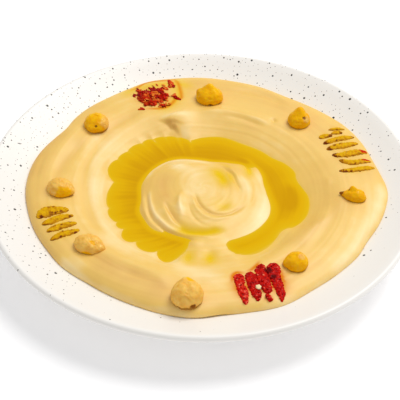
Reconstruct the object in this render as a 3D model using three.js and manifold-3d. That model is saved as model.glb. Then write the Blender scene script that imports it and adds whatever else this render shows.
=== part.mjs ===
// Hummus spread on a round stoneware plate: a ring of hummus round a swirled mound, olive oil
// in the hollow between them, eight chickpeas and four dabs of spice. Millimetres, +Z up, the
// origin at the middle of the plate's foot, on the table. +X is right, -Y is towards the diner.

import * as THREE from 'three';
import { mergeVertices } from 'three/addons/utils/BufferGeometryUtils.js';
import Module from 'manifold-3d';

const wasm = await Module();
wasm.setup();

const GAP = 0.3; // clearance kept between pieces that touch

// The plate: a coupe shape with a flat floor, a curved side and a rounded lip.
const PLATE_RADIUS = 100;
const PLATE_SEGMENTS = 60;
const FLOOR_RADIUS = 45;
const FLOOR_HEIGHT = 7;
const SIDE_RUN = 54;
const SIDE_RISE = 15.8;
const WALL = 3.2;
const LIP_RADIUS = 97.2; // where the inner face meets the rounded lip
const FOOT_OUTER = 56.5;
const FOOT_INNER = 52;
const FOOT_RECESS = 3.2;
const FOOT_CHAMFER = 0.7;

// The hummus: outline and crest of the ring, hollow and mound, by angle from +X.
const HOLLOW_FLOOR = 11.2;
const OIL_LEVEL = 13.5;
const MOUND_TOP = 18.2;
const MOUND_ROOT = 9.7; // below the hollow's floor, so that its foot is sharp
const FILLET = 1.2; // how softly the mound meets the hollow
const OUTLINE_RADIUS = [
  [0, 86.2], [10, 84.8], [16, 84.3], [26, 84.8], [36, 84.7], [46, 83.7], [60, 83], [70, 84.2],
  [80, 84.8], [90, 85.6], [100, 85.8], [109, 86], [117, 84.6], [125, 83.5], [134, 82.8],
  [141, 81.6], [147, 80], [153, 80.4], [160, 81.6], [168, 82.3], [180, 82], [190, 81],
  [200, 80.3], [210, 79.4], [220, 79.2], [230, 77.4], [238, 77.4], [248, 78.1], [257, 79.6],
  [265, 81], [270, 80.7], [277, 78.6], [285, 78.7], [296, 80.6], [308, 78.9], [320, 79.6],
  [330, 81], [337, 81], [345, 83.2], [352, 84.9],
];
const CREST_RADIUS = [
  [0, 68], [20, 68], [40, 64], [60, 61], [90, 58.5], [112, 58], [128, 64], [140, 69], [155, 71],
  [170, 72], [185, 71.5], [197, 69], [210, 65.5], [225, 62.5], [240, 61.5], [252, 62.5],
  [262, 64], [273, 62], [285, 60], [300, 57], [315, 55.5], [330, 57], [345, 63],
];
const CREST_HEIGHT = [
  [0, 18.8], [60, 19], [110, 19.2], [150, 18.4], [180, 18], [210, 18], [240, 18.4], [270, 18.2],
  [300, 17.8], [330, 18.2],
];
// Edge of the oil, without its lobes, and of the mound where it rises out of the oil
const HOLLOW_RADIUS = [
  [0, 49.3], [5, 47.6], [10, 46.1], [15, 46], [21, 47], [30, 45.7], [39, 43], [48, 42.6],
  [63, 41.9], [78, 43.1], [90, 41.6], [99, 40.2], [105, 42.3], [112, 44.8], [120, 46],
  [129, 46.5], [140, 46.7], [149.5, 47], [160, 45.2], [170, 42.1], [182, 42.6], [194.5, 44],
  [208, 43.6], [215.5, 43], [228.5, 44], [243.5, 43.6], [258.5, 44], [266, 44.5], [280, 44],
  [287, 43.4], [292, 45.4], [297, 47.2], [304, 48], [315, 47.6], [325, 46], [331, 47.3],
  [338, 49.3], [345, 50.5], [350, 50.4], [355, 50.1],
];
const MOUND_RADIUS = [
  [0, 30.1], [9, 29.6], [18, 29.5], [28, 30.6], [36, 31], [45, 29.6], [54, 27.2], [62, 25.6],
  [78, 23.7], [90, 24.2], [102, 25.3], [114, 27.2], [126, 28.2], [150, 28.3], [168, 28.7],
  [184, 28], [192, 28.5], [204, 31], [216, 31.8], [228, 33], [240, 31.6], [255, 31.2],
  [270, 32.4], [285, 33.4], [300, 33.8], [312, 34.4], [324, 34.4], [336, 33.9], [348, 32.2],
];
// How full the mound's shoulder is
const MOUND_FULLNESS = [
  [0, 2.6], [30, 3], [60, 3.6], [180, 3.6], [230, 3.4], [270, 2.4], [310, 2.1],
];

// Petal-shaped spoon marks along the left of the hollow, which the oil fills in lobes: the angle
// of the notch where each starts, and how far it reaches. Those in front lean to one side.
const LOBES = [
  [99, 0.5], [107, 0.4], [114, 0.8], [121.5, 1.3], [129, 1.5], [140, 0.9], [149.5, 2.6],
  [170, 1.6], [194.5, 1.6], [208, 1.8], [215.5, 3.9], [228.5, 3.1], [243.5, 5.4], [258.5, 0],
];
const LOBE_OUTWARD = 2.2; // how far a lobe's relief runs out of the hollow and into it
const LOBE_INWARD = 7;
const LOBE_TURN = 1.1; // degrees to each millimetre
const LEAN_FROM = 195;
const LEAN_SPAN = 35;
const NOTCH_RIDGE = 0.35;
const NOTCH_WIDTH = 1.2;

// The bridge of hummus that joins the mound to the ring in front and parts the oil there.
const BRIDGE = { height: 14.5, back: -33.7, middle: 3.6, lean: 0.31, half: 7.4, widening: 0.36 };
const BRIDGE_POWER = 2.5;
const BRIDGE_START = -22; // it fades out behind this y
const BRIDGE_LENGTH = 16;
const BRIDGE_OVERLAP = 10; // with the mound

// Spoon strokes. Each follows a path of [x, y] points. A lip stands up by its height, a groove
// has a height below 0, and a fold stands higher on the left of its path than on the right.
// `left` and `right` say how far it fades on each side, and `soft` how sharp its middle is.
const STROKES = [
  // Outer ridge on the left
  { height: 0.5, left: 4, right: 3.5, soft: 1,
    path: [[-58, 44], [-68, 27], [-72.5, 8], [-72, -12]] },
  // Furrow inside that ridge
  { height: -0.7, left: 3.4, right: 3.4, soft: 1,
    path: [[-57, 34], [-64, 19], [-67.5, 3]] },
  // Furrow along the left of the hollow
  { height: -0.5, left: 3, right: 3, soft: 0.8,
    path: [[-29, 54.5], [-49.5, 34], [-55, 8], [-50, -21], [-44, -32]] },
  // Crest of the fold behind the mound
  { height: 0.8, left: 2.4, right: 3, soft: 0.6,
    path: [[-21.8, 48.6], [-14.8, 51.1], [-3.6, 54], [8.2, 55.7], [18, 53.2], [34, 46.8]] },
  // Edge of that fold, down to the oil and on under it
  { height: 1.7, left: 7, right: 3, soft: 0.4, fold: true,
    path: [[-19.2, 50.7], [-16.9, 48.1], [-13.7, 46], [-11.1, 41.6]] },
  { height: 0.5, left: 4, right: 3, soft: 0.4, fold: true,
    path: [[-12.1, 43], [-5.2, 36.4], [2.6, 33.5]] },
  // Furrow along the front of that fold
  { height: -0.6, left: 2.6, right: 2, soft: 0.5,
    path: [[8.2, 53], [18, 51.5], [27.7, 46.6], [33, 45.2]] },
  // Groove at the back right
  { height: -0.5, left: 3, right: 3, soft: 0.8,
    path: [[12, 74], [24, 72], [33, 67.5], [42, 60]] },
  // Ridge and groove at the right front
  { height: 0.5, left: 3.5, right: 3, soft: 1,
    path: [[56, -8], [52.5, -24], [48, -32], [41, -40.5]] },
  { height: -0.5, left: 3, right: 2.4, soft: 0.8,
    path: [[62, -8], [58.5, -20], [55, -27], [51.5, -33], [46, -41]] },
  // Crest at the front left
  { height: 0.8, left: 6, right: 3, soft: 0.8,
    path: [[-50, -40], [-38, -49], [-30, -52.5], [-19, -59], [-12, -66]] },
  // Main groove of the swirl
  { height: -1.2, left: 1.6, right: 1.2, soft: 0.3,
    path: [[-17.3, -8.4], [-12.7, -19.6], [-6.9, -25.7]] },
  // Groove round the front of the mound
  { height: -0.8, left: 1.8, right: 1.8, soft: 0.5,
    path: [[-14.2, -24.9], [-4.6, -27.5], [1.6, -27.6], [12.3, -25.1]] },
  // Crest of the swirl
  { height: 1.3, left: 1.8, right: 1.5, soft: 0.3,
    path: [[-7.3, -1.4], [-9.6, -5.3], [-10.4, -10.9], [-9.6, -16.6], [-9.1, -21.2]] },
  // Inner groove of the swirl
  { height: -0.65, left: 1.2, right: 1.2, soft: 0.3,
    path: [[-4.4, -2.6], [-1.4, -11.2], [6.6, -17.7], [16.3, -14], [21, -9.4]] },
  // Dips at the back and the front of the mound
  { height: -0.5, left: 2.4, right: 2.4, soft: 0.8,
    path: [[4.2, 13.7], [7.4, 9.9], [9.7, 5.4], [10, -1.9]] },
  { height: -0.35, left: 2.4, right: 2.4, soft: 1,
    path: [[3.7, -13.7], [9.8, -12.4], [15.8, -11.8]] },
  // Crest at the right of the mound
  { height: 0.8, left: 3, right: 3, soft: 1,
    path: [[18.2, 9.8], [21.1, 4.5], [21.6, -1.8], [21, -10.3]] },
  // Groove where the mound meets the oil at the back right
  { height: -0.9, left: 1.3, right: 1.3, soft: 0.3,
    path: [[15, 26.3], [19.7, 23.2], [22, 18.1], [22.1, 11.2]] },
  // Paste between the mound's front and the last petal of oil
  { height: 0.9, left: 2.4, right: 2.4, soft: 0.6,
    path: [[-8.6, -31.4], [-4, -33], [2, -33.8]] },
  // Hollow at the left of the mound
  { height: -0.6, left: 4, right: 4, soft: 1.5,
    path: [[-18, 12], [-16, 2], [-14, -8]] },
];
const STROKE_TAPER = 9; // the way at each end over which a stroke rises
const PATH_STEPS = 8; // straight pieces to each span of a smooth path

// Chickpeas: where each lies, its length, width and height, how far its middle stands above the
// hummus, and where its beak points, as a turn about Z from +X and a tilt up.
const CHICKPEAS = [
  { at: [-51.7, 43.4], size: [11.8, 11.9, 10.2], lift: 1, turn: 250, tilt: 5 },
  { at: [2.8, 64.8], size: [11.2, 13, 12], lift: 1.2, turn: 95, tilt: 70 },
  { at: [46.5, 47.6], size: [10.4, 10.9, 10.8], lift: 1.2, turn: 80, tilt: 70 },
  { at: [70.2, -6.6], size: [10.6, 7, 7.2], lift: 0.6, turn: 160, tilt: 0 },
  { at: [41.8, -50.4], size: [10.5, 10.4, 9.4], lift: 1, turn: 185, tilt: 0 },
  { at: [-5.7, -72.6], size: [13.2, 13.8, 13.2], lift: 1.8, turn: 95, tilt: 45 },
  { at: [-49.8, -41.7], size: [13.1, 10.6, 8.6], lift: 0.9, turn: 340, tilt: 0 },
  { at: [-65.4, -4.2], size: [12.2, 10.8, 9.6], lift: 1, turn: 340, tilt: 0 },
];
const CHICKPEA_DETAIL = 2;
const BEAK_LENGTH = 0.16; // this and the furrow's depth are shares of the chickpea's half size
const BEAK_SPREAD = 0.4;
const FURROW_DEPTH = 0.09;
const FURROW_SPREAD = 0.28;

// Spice laid in rows, as the tines of a fork leave it: each row is a path, a width and a height.
const OCHRE_ROWS_RIGHT = { width: 2.4, height: 0.7, paths: [
  [[57, 36.4], [62, 38.6], [66.5, 42]],
  [[59.6, 31], [66, 35.4], [71, 39.4]],
  [[59.8, 27], [66, 29], [73.6, 33.6]],
  [[62.1, 22.6], [70.5, 24.2], [77.2, 26.8]],
  [[65, 18.8], [71, 17.6], [78.8, 19.6]],
  [[64.4, 11.8], [72, 13.2], [79.6, 15]],
] };
const OCHRE_ROWS_LEFT = { width: 2.4, height: 0.7, paths: [
  [[-73.6, -21.9], [-69, -18.4], [-60.7, -18.2]],
  [[-71.3, -26.2], [-65, -24.2], [-58.4, -22.7]],
  [[-68.9, -30.7], [-62.7, -29], [-56.5, -27.3]],
  [[-66.2, -35.6], [-61.6, -33.6], [-55.4, -32.2]],
] };
const RED_ROWS = { width: 4.4, height: 1.3, paths: [
  [[16.5, -57.8], [16.9, -62.1], [18.1, -67], [19.6, -74.2]],
  [[21.2, -56.6], [22.4, -61.5], [23.6, -67], [24.8, -72.4]],
  [[26.6, -50.8], [25.8, -55.5], [27.3, -61.7], [28.6, -66.4], [30.4, -72]],
  [[31.6, -50.2], [31.6, -56.9], [33.5, -63.8], [35, -71.4]],
] };
const ROW_SIDES = 6;
const ROW_RINGS = 6;
const ROW_BLUNTNESS = 0.5; // how much fuller a row's ends are than a ball's

// Chilli flakes scattered on the hummus at the back left, in an oval patch turned along the rim.
const FLAKE_PATCH = { middle: [-22.5, 69], length: 17, depth: 18, turn: 15 };
const FLAKE_COUNT = 20;
const FLAKE_SIZE = 3.4;
const FLAKE_THICKNESS = 0.8;
const FLAKE_CORNERS = 5;
const FLAKE_UNEVENNESS = 0.6;
const FLAKE_TILT = 0.45;
const LOOSE_FLAKE = [-30.2, 55.2];
const FLAKE_SEED = 7;

// Facets of the hummus: rings of facets on its upper side, and a few wide ones underneath.
const TOP_RINGS = 29;
const MORE_CORNERS = 6; // in each ring than in the one inside it, up to the most
const MOST_CORNERS = 102;
const LAST_EVEN_SHARE = 0.93;
const EDGE_RINGS = [0.966, 0.988, 1]; // the last rings, as shares of the outline's radius
const UNDERSIDE_RINGS = [[0.86, 60], [0.58, 36], [0.3, 12]]; // share of the radius, corners
const SLAB_REACH = 6; // how far the slab of oil starts past the hollow
const SMALLEST_POOL = 3; // cubic mm

const TURN = 360;
const MATERIALS = {
  plate: new THREE.MeshStandardMaterial({ color: 0xf6f1e8, roughness: 0.35, metalness: 0 }),
  hummus: new THREE.MeshStandardMaterial({ color: 0xf1d08a, roughness: 0.55, metalness: 0 }),
  oil: new THREE.MeshStandardMaterial({ color: 0xdcae18, roughness: 0.08, metalness: 0 }),
  chickpea: new THREE.MeshStandardMaterial({ color: 0xe6ab2b, roughness: 0.35, metalness: 0 }),
};

const hermite = (t, from, fromSlope, to, toSlope) =>
  (2 * t ** 3 - 3 * t ** 2 + 1) * from + (t ** 3 - 2 * t ** 2 + t) * fromSlope
  + (3 * t ** 2 - 2 * t ** 3) * to + (t ** 3 - t ** 2) * toSlope;

// Reads a closed table of [angle, value] at any angle, on a smooth curve through its values.
function around(table, angle) {
  const turned = THREE.MathUtils.euclideanModulo(angle, TURN);
  const after = table.findIndex(([a]) => a > turned);
  const at = (after === -1 ? table.length : after) - 1;
  const entry = (i) => {
    const turns = Math.floor(i / table.length);
    const [a, value] = table[i - turns * table.length];
    return [a + turns * TURN, value];
  };
  const [[a0, v0], [a1, v1], [a2, v2], [a3, v3]] = [at - 1, at, at + 1, at + 2].map(entry);
  const span = a2 - a1;
  const slope1 = ((v2 - v0) / (a2 - a0)) * span;
  const slope2 = ((v3 - v1) / (a3 - a1)) * span;
  return hermite((turned - a1) / span, v1, slope1, v2, slope2);
}

const plateTop = (radius) =>
  FLOOR_HEIGHT + SIDE_RISE * (Math.max(radius - FLOOR_RADIUS, 0) / SIDE_RUN) ** 2;

// A smooth blend of the higher of two heights, rounded where they cross.
function higher(a, b, rounding) {
  const share = THREE.MathUtils.clamp(0.5 + (a - b) / (2 * rounding), 0, 1);
  return b + (a - b) * share + rounding * share * (1 - share);
}

// Signed distance from a line of points, above 0 on its left, and the way along it.
function nearestOn(line, x, y) {
  let best = { distance: Infinity, offset: 0, way: 0 };
  let before = 0;
  for (let i = 0; i + 1 < line.length; i += 1) {
    const along = line[i + 1].clone().sub(line[i]);
    const to = new THREE.Vector2(x, y).sub(line[i]);
    const t = THREE.MathUtils.clamp(to.dot(along) / along.lengthSq(), 0, 1);
    const distance = to.distanceTo(along.clone().multiplyScalar(t));
    if (distance < best.distance) {
      const way = before + t * along.length();
      best = { distance, offset: Math.sign(along.cross(to)) * distance, way };
    }
    before += along.length();
  }
  return best;
}

// Turns one entry of STROKES into a function of x and y that gives its height there.
function makeStroke({ path, height, left, right, soft, fold = false }) {
  const FALL = 1.5;
  const curve = new THREE.SplineCurve(path.map(([x, y]) => new THREE.Vector2(x, y)));
  const line = curve.getPoints(PATH_STEPS * (path.length - 1));
  const length = line.slice(1).reduce((sum, point, i) => sum + point.distanceTo(line[i]), 0);
  const taper = Math.min(STROKE_TAPER, length / 2);
  return (x, y) => {
    const { offset, way } = nearestOn(line, x, y);
    const width = offset > 0 ? left : right;
    const ends = THREE.MathUtils.smoothstep(way, 0, taper)
      * THREE.MathUtils.smoothstep(length - way, 0, taper);
    if (fold) {
      const step = 0.5 * Math.tanh(offset / soft);
      return height * ends * step * Math.exp(-((Math.abs(offset) / width) ** FALL));
    }
    const distance = Math.hypot(offset, soft) - soft;
    return height * ends * Math.exp(-((distance / width) ** FALL));
  };
}
const strokes = STROKES.map(makeStroke);

// The angle by which lobes are told apart. It turns further in, where they lean.
function lobeAngle(radius, angle) {
  const inward = Math.max(around(HOLLOW_RADIUS, angle) - radius, 0);
  const turned = THREE.MathUtils.euclideanModulo(angle, TURN);
  const leaning = THREE.MathUtils.smoothstep(turned, LEAN_FROM, LEAN_FROM + LEAN_SPAN);
  return turned - LOBE_TURN * inward * leaning;
}

// How far a lobe reaches past the hollow's plain edge.
function lobeReach(turned) {
  const next = LOBES.findIndex(([notch]) => notch > turned);
  if (next < 1) {
    return 0;
  }
  const [[from, reach], [to]] = [LOBES[next - 1], LOBES[next]];
  const ROUNDNESS = 0.6;
  return reach * Math.sin((Math.PI * (turned - from)) / (to - from)) ** ROUNDNESS;
}

// The low ridge that runs into the hollow from each notch between two lobes.
function notchRidge(radius, beyond, turned) {
  const RISE = 2;
  const LENGTH = 14;
  const nearest = Math.min(...LOBES.map(([notch]) => Math.abs(turned - notch)));
  const aside = radius * THREE.MathUtils.degToRad(nearest);
  const ends = THREE.MathUtils.smoothstep(-beyond, 0, RISE)
    * THREE.MathUtils.smoothstep(LENGTH + beyond, 0, LENGTH);
  return NOTCH_RIDGE * ends * Math.exp(-((aside / NOTCH_WIDTH) ** 2));
}

// The ring of hummus without its strokes: hollow floor, flank up to the crest, rounded outside.
function ringHeight(radius, angle) {
  const hollow = around(HOLLOW_RADIUS, angle);
  const crest = around(CREST_RADIUS, angle);
  const top = around(CREST_HEIGHT, angle);
  const turned = lobeAngle(radius, angle);
  const lobe = lobeReach(turned);
  const beyond = radius - hollow - lobe;
  const inward = radius
    - lobe * Math.exp(-((beyond / (beyond > 0 ? LOBE_OUTWARD : LOBE_INWARD)) ** 2));
  const FLOOR_POWER = 8;
  if (inward < hollow) {
    const depth = OIL_LEVEL - HOLLOW_FLOOR;
    return HOLLOW_FLOOR + depth * (Math.max(inward, 0) / hollow) ** FLOOR_POWER
      + notchRidge(radius, beyond, turned);
  }
  if (radius < crest) {
    const run = crest - hollow;
    const slope = (FLOOR_POWER * (OIL_LEVEL - HOLLOW_FLOOR) * run) / hollow;
    return hermite((inward - hollow) / run, OIL_LEVEL, slope, top, 0);
  }
  const OUTSIDE_POWER = 4;
  const outline = around(OUTLINE_RADIUS, angle);
  const foot = plateTop(outline) + GAP;
  const out = Math.min((radius - crest) / (outline - crest), 1);
  return foot + (top - foot) * Math.sqrt(1 - out ** OUTSIDE_POWER);
}

// The mound in the middle without its swirl. It starts below the hollow's floor.
function moundHeight(radius, angle) {
  const FOOT_POWER = 0.75;
  const rise = MOUND_TOP - MOUND_ROOT;
  const fullness = around(MOUND_FULLNESS, angle);
  const atOil = 1 - ((OIL_LEVEL - MOUND_ROOT) / rise) ** (1 / FOOT_POWER);
  const out = Math.min((radius / around(MOUND_RADIUS, angle)) * atOil ** (1 / fullness), 1);
  return MOUND_ROOT + rise * (1 - out ** fullness) ** FOOT_POWER;
}

function bridgeHeight(x, y) {
  const { height, back, middle, lean, half, widening } = BRIDGE;
  const forward = THREE.MathUtils.clamp(back - y, -BRIDGE_OVERLAP, BRIDGE_LENGTH);
  const aside = Math.abs(x - middle + lean * forward) / (half + widening * forward);
  return height - (height - OIL_LEVEL) * aside ** BRIDGE_POWER - Math.max(y - BRIDGE_START, 0);
}

// The upper surface of the hummus, before the chickpeas and the spice.
function surfaceHeight(x, y) {
  const radius = Math.hypot(x, y);
  const angle = THREE.MathUtils.radToDeg(Math.atan2(y, x));
  const body = higher(ringHeight(radius, angle), moundHeight(radius, angle), FILLET);
  const smooth = higher(body, bridgeHeight(x, y), FILLET);
  return strokes.reduce((height, stroke) => height + stroke(x, y), smooth);
}

function closedGeometry(positions, corners) {
  const geometry = new THREE.BufferGeometry();
  geometry.setAttribute('position', new THREE.Float32BufferAttribute(positions, 3));
  geometry.setIndex(corners);
  geometry.computeVertexNormals();
  return geometry;
}

function toSolid(geometry) {
  const bare = geometry.clone();
  bare.deleteAttribute('normal');
  bare.deleteAttribute('uv');
  const merged = mergeVertices(bare);
  return new wasm.Manifold(new wasm.Mesh({
    numProp: 3,
    vertProperties: Float32Array.from(merged.attributes.position.array),
    triVerts: Uint32Array.from(merged.index.array),
  }));
}

function toGeometry(solid) {
  const mesh = solid.getMesh();
  return closedGeometry(Array.from(mesh.vertProperties), Array.from(mesh.triVerts));
}

// Triangles between two rings of corners that both start at +X, the inner one first. An inner
// ring of one corner gives a fan. `up` says which side faces out.
function stitchRings(inner, outer, up) {
  const corners = [];
  const add = (a, b, c) => corners.push(...(up ? [a, b, c] : [a, c, b]));
  const pick = (ring, i) => ring[i % ring.length];
  const innerCount = inner.length > 1 ? inner.length : 0;
  let i = 0;
  let j = 0;
  while (i < innerCount || j < outer.length) {
    const stepOut = i >= innerCount || (j + 1) / outer.length <= (i + 1) / innerCount;
    if (stepOut && j < outer.length) {
      add(pick(inner, i), pick(outer, j), pick(outer, j + 1));
      j += 1;
    } else {
      add(pick(inner, i), pick(outer, j), pick(inner, i + 1));
      i += 1;
    }
  }
  return corners;
}

// The spread of hummus as one closed body: rings of corners over its upper surface, the last of
// them on the outline, and a few rings just above the plate underneath.
function makeSpread() {
  const positions = [];
  const addRing = (share, count, heightAt) => {
    const ring = [];
    for (let i = 0; i < count; i += 1) {
      const angle = (TURN * i) / count;
      const radius = share * around(OUTLINE_RADIUS, angle);
      const x = radius * Math.cos(THREE.MathUtils.degToRad(angle));
      const y = radius * Math.sin(THREE.MathUtils.degToRad(angle));
      ring.push(positions.length / 3);
      positions.push(x, y, heightAt(x, y));
    }
    return ring;
  };
  const corners = [];
  const evenRings = TOP_RINGS - EDGE_RINGS.length;
  let ring = addRing(0, 1, surfaceHeight);
  for (let k = 1; k <= TOP_RINGS; k += 1) {
    const share = k <= evenRings ? (LAST_EVEN_SHARE * k) / evenRings : EDGE_RINGS[k - evenRings - 1];
    const next = addRing(share, Math.min(MORE_CORNERS * k, MOST_CORNERS), surfaceHeight);
    corners.push(...stitchRings(ring, next, true));
    ring = next;
  }
  const aboveThePlate = (x, y) => plateTop(Math.hypot(x, y)) + GAP;
  UNDERSIDE_RINGS.concat([[0, 1]]).forEach(([share, count]) => {
    const next = addRing(share, count, aboveThePlate);
    corners.push(...stitchRings(next, ring, false));
    ring = next;
  });
  return closedGeometry(positions, corners);
}

// The plate, turned from one closed profile: foot, underside, lip, inner face.
function makePlate() {
  const lean = (radius) => Math.atan((2 * SIDE_RISE * (radius - FLOOR_RADIUS)) / SIDE_RUN ** 2);
  const profile = [
    [0, FOOT_RECESS],
    [FOOT_INNER, FOOT_RECESS],
    [FOOT_INNER + FOOT_CHAMFER, 0],
    [FOOT_OUTER - FOOT_CHAMFER, 0],
    [FOOT_OUTER, FOOT_CHAMFER],
  ];
  const UNDER_STEPS = 4;
  const LAST_UNDER_RADIUS = 94;
  for (let i = 0; i <= UNDER_STEPS; i += 1) {
    const above = THREE.MathUtils.lerp(FOOT_OUTER + FOOT_CHAMFER, LAST_UNDER_RADIUS, i / UNDER_STEPS);
    const radius = above + WALL * Math.sin(lean(above));
    profile.push([radius, plateTop(above) - WALL * Math.cos(lean(above))]);
  }
  const LIP_STEPS = 3;
  const half = WALL / 2;
  const lipHeight = plateTop(LIP_RADIUS) - half * Math.cos(lean(LIP_RADIUS));
  for (let i = 0; i <= LIP_STEPS; i += 1) {
    const angle = (lean(LIP_RADIUS) + Math.PI / 2) * (i / LIP_STEPS);
    const radius = PLATE_RADIUS - half + half * Math.cos(angle);
    profile.push([radius, lipHeight + half * Math.sin(angle)]);
  }
  const INNER_RADII = [90, 80, 68, 56, FLOOR_RADIUS, 0];
  INNER_RADII.forEach((radius) => profile.push([radius, plateTop(radius)]));
  const points = profile.map(([radius, height]) => new THREE.Vector2(radius, height));
  return new THREE.LatheGeometry(points, PLATE_SEGMENTS).rotateX(Math.PI / 2);
}

// A chickpea in its place: a rounded seed with a beak and a furrow through it. `grow` makes it
// larger all round, which gives the seat that it leaves in the hummus.
function makeChickpea({ at, size, lift, turn, tilt }, grow = 0) {
  const seed = mergeVertices(bareBall());
  const points = seed.attributes.position;
  const point = new THREE.Vector3();
  const beak = new THREE.Vector3(1, 0, 0);
  for (let i = 0; i < points.count; i += 1) {
    point.fromBufferAttribute(points, i).normalize();
    const rise = BEAK_LENGTH * Math.exp(-((point.angleTo(beak) / BEAK_SPREAD) ** 2));
    const furrow = point.x > 0 ? FURROW_DEPTH * Math.exp(-((point.y / FURROW_SPREAD) ** 2)) : 0;
    point.multiplyScalar(1 + rise - furrow * (1 - rise / BEAK_LENGTH));
    points.setXYZ(i, point.x, point.y, point.z);
  }
  seed.scale(size[0] / 2 + grow, size[1] / 2 + grow, size[2] / 2 + grow);
  seed.rotateY(THREE.MathUtils.degToRad(-tilt));
  seed.rotateZ(THREE.MathUtils.degToRad(turn));
  return seed.translate(at[0], at[1], surfaceHeight(at[0], at[1]) + lift);
}

function bareBall() {
  const ball = new THREE.IcosahedronGeometry(1, CHICKPEA_DETAIL);
  ball.deleteAttribute('normal');
  ball.deleteAttribute('uv');
  return ball;
}

// One row of spice: a long bead that follows its path and the hummus under it, half sunk in.
function makeRow(path, width, height) {
  const curve = new THREE.SplineCurve(path.map(([x, y]) => new THREE.Vector2(x, y)));
  const bead = new THREE.SphereGeometry(1, ROW_SIDES, ROW_RINGS);
  const points = bead.attributes.position;
  for (let i = 0; i < points.count; i += 1) {
    const along = (points.getY(i) + 1) / 2;
    const middle = curve.getPoint(along);
    const aside = curve.getTangent(along).rotateAround(new THREE.Vector2(), -Math.PI / 2);
    const blunt = 1 + ROW_BLUNTNESS * points.getY(i) ** 2;
    const place = middle.addScaledVector(aside, (points.getX(i) * blunt * width) / 2);
    const z = surfaceHeight(place.x, place.y) + points.getZ(i) * blunt * height;
    points.setXYZ(i, place.x, place.y, z);
  }
  return bead;
}

// One chilli flake: a thin plate with uneven corners, lying tilted on the hummus.
function makeFlake(x, y) {
  const draw = () => THREE.MathUtils.seededRandom();
  const outline = new THREE.Shape();
  for (let i = 0; i < FLAKE_CORNERS; i += 1) {
    const angle = (2 * Math.PI * (i + FLAKE_UNEVENNESS * draw())) / FLAKE_CORNERS;
    const radius = (FLAKE_SIZE / 2) * (1 + FLAKE_UNEVENNESS * (draw() - 0.5));
    const corner = [radius * Math.cos(angle), radius * Math.sin(angle)];
    if (i === 0) {
      outline.moveTo(...corner);
    } else {
      outline.lineTo(...corner);
    }
  }
  const flake = new THREE.ExtrudeGeometry(outline, { depth: FLAKE_THICKNESS, bevelEnabled: false });
  flake.translate(0, 0, -FLAKE_THICKNESS / 2);
  flake.rotateX(FLAKE_TILT * (2 * draw() - 1));
  flake.rotateY(FLAKE_TILT * (2 * draw() - 1));
  return flake.translate(x, y, surfaceHeight(x, y) + FLAKE_THICKNESS / 4);
}

function makeFlakes() {
  THREE.MathUtils.seededRandom(FLAKE_SEED);
  const { middle, length, depth, turn } = FLAKE_PATCH;
  const GOLDEN_ANGLE = Math.PI * (3 - Math.sqrt(5));
  const flakes = [makeFlake(...LOOSE_FLAKE)];
  for (let i = 0; i < FLAKE_COUNT; i += 1) {
    const radius = Math.sqrt((i + 0.5) / FLAKE_COUNT);
    const place = new THREE.Vector2(radius, 0).rotateAround(new THREE.Vector2(), i * GOLDEN_ANGLE);
    place.multiply(new THREE.Vector2(length / 2, depth / 2));
    place.rotateAround(new THREE.Vector2(), THREE.MathUtils.degToRad(turn));
    flakes.push(makeFlake(middle[0] + place.x, middle[1] + place.y));
  }
  return flakes;
}

// The oil fills the hollow up to its level: a flat slab less the hummus, held off it by the gap.
function makePools(spread) {
  const reach = Math.max(...HOLLOW_RADIUS.map(([, radius]) => radius)) + SLAB_REACH;
  const bottom = HOLLOW_FLOOR - 1;
  const slab = new THREE.CylinderGeometry(reach, reach, OIL_LEVEL - bottom, PLATE_SEGMENTS)
    .rotateX(Math.PI / 2)
    .translate(0, 0, (OIL_LEVEL + bottom) / 2);
  const raised = spread.clone().translate(0, 0, GAP);
  return toSolid(slab).subtract(toSolid(raised)).decompose()
    .filter((pool) => pool.volume() > SMALLEST_POOL)
    .sort((a, b) => b.volume() - a.volume())
    .map(toGeometry);
}

function makeHummus(spread) {
  const rows = [OCHRE_ROWS_RIGHT, OCHRE_ROWS_LEFT, RED_ROWS].flatMap(({ width, height, paths }) =>
    paths.map((path) => makeRow(path, width, height)));
  const dressed = [...rows, ...makeFlakes()].reduce(
    (body, piece) => body.add(toSolid(piece)), toSolid(spread));
  return CHICKPEAS.reduce(
    (body, chickpea) => body.subtract(toSolid(makeChickpea(chickpea, GAP))), dressed);
}

const dish = new THREE.Group();
function addPiece(name, geometry, material) {
  const piece = new THREE.Mesh(geometry, material);
  piece.name = name;
  dish.add(piece);
}

const spread = makeSpread();
addPiece('plate', makePlate(), MATERIALS.plate);
addPiece('hummus', toGeometry(makeHummus(spread)), MATERIALS.hummus);
makePools(spread).forEach((pool, i) => {
  addPiece(i === 0 ? 'oil_pool' : `oil_spot_${i}`, pool, MATERIALS.oil);
});
CHICKPEAS.forEach((chickpea, i) => {
  addPiece(`chickpea_${i + 1}`, makeChickpea(chickpea), MATERIALS.chickpea);
});

export default dish;
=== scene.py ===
import math
import random

import bmesh
import bpy
import numpy as np
from mathutils import Matrix, Vector, noise


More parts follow.
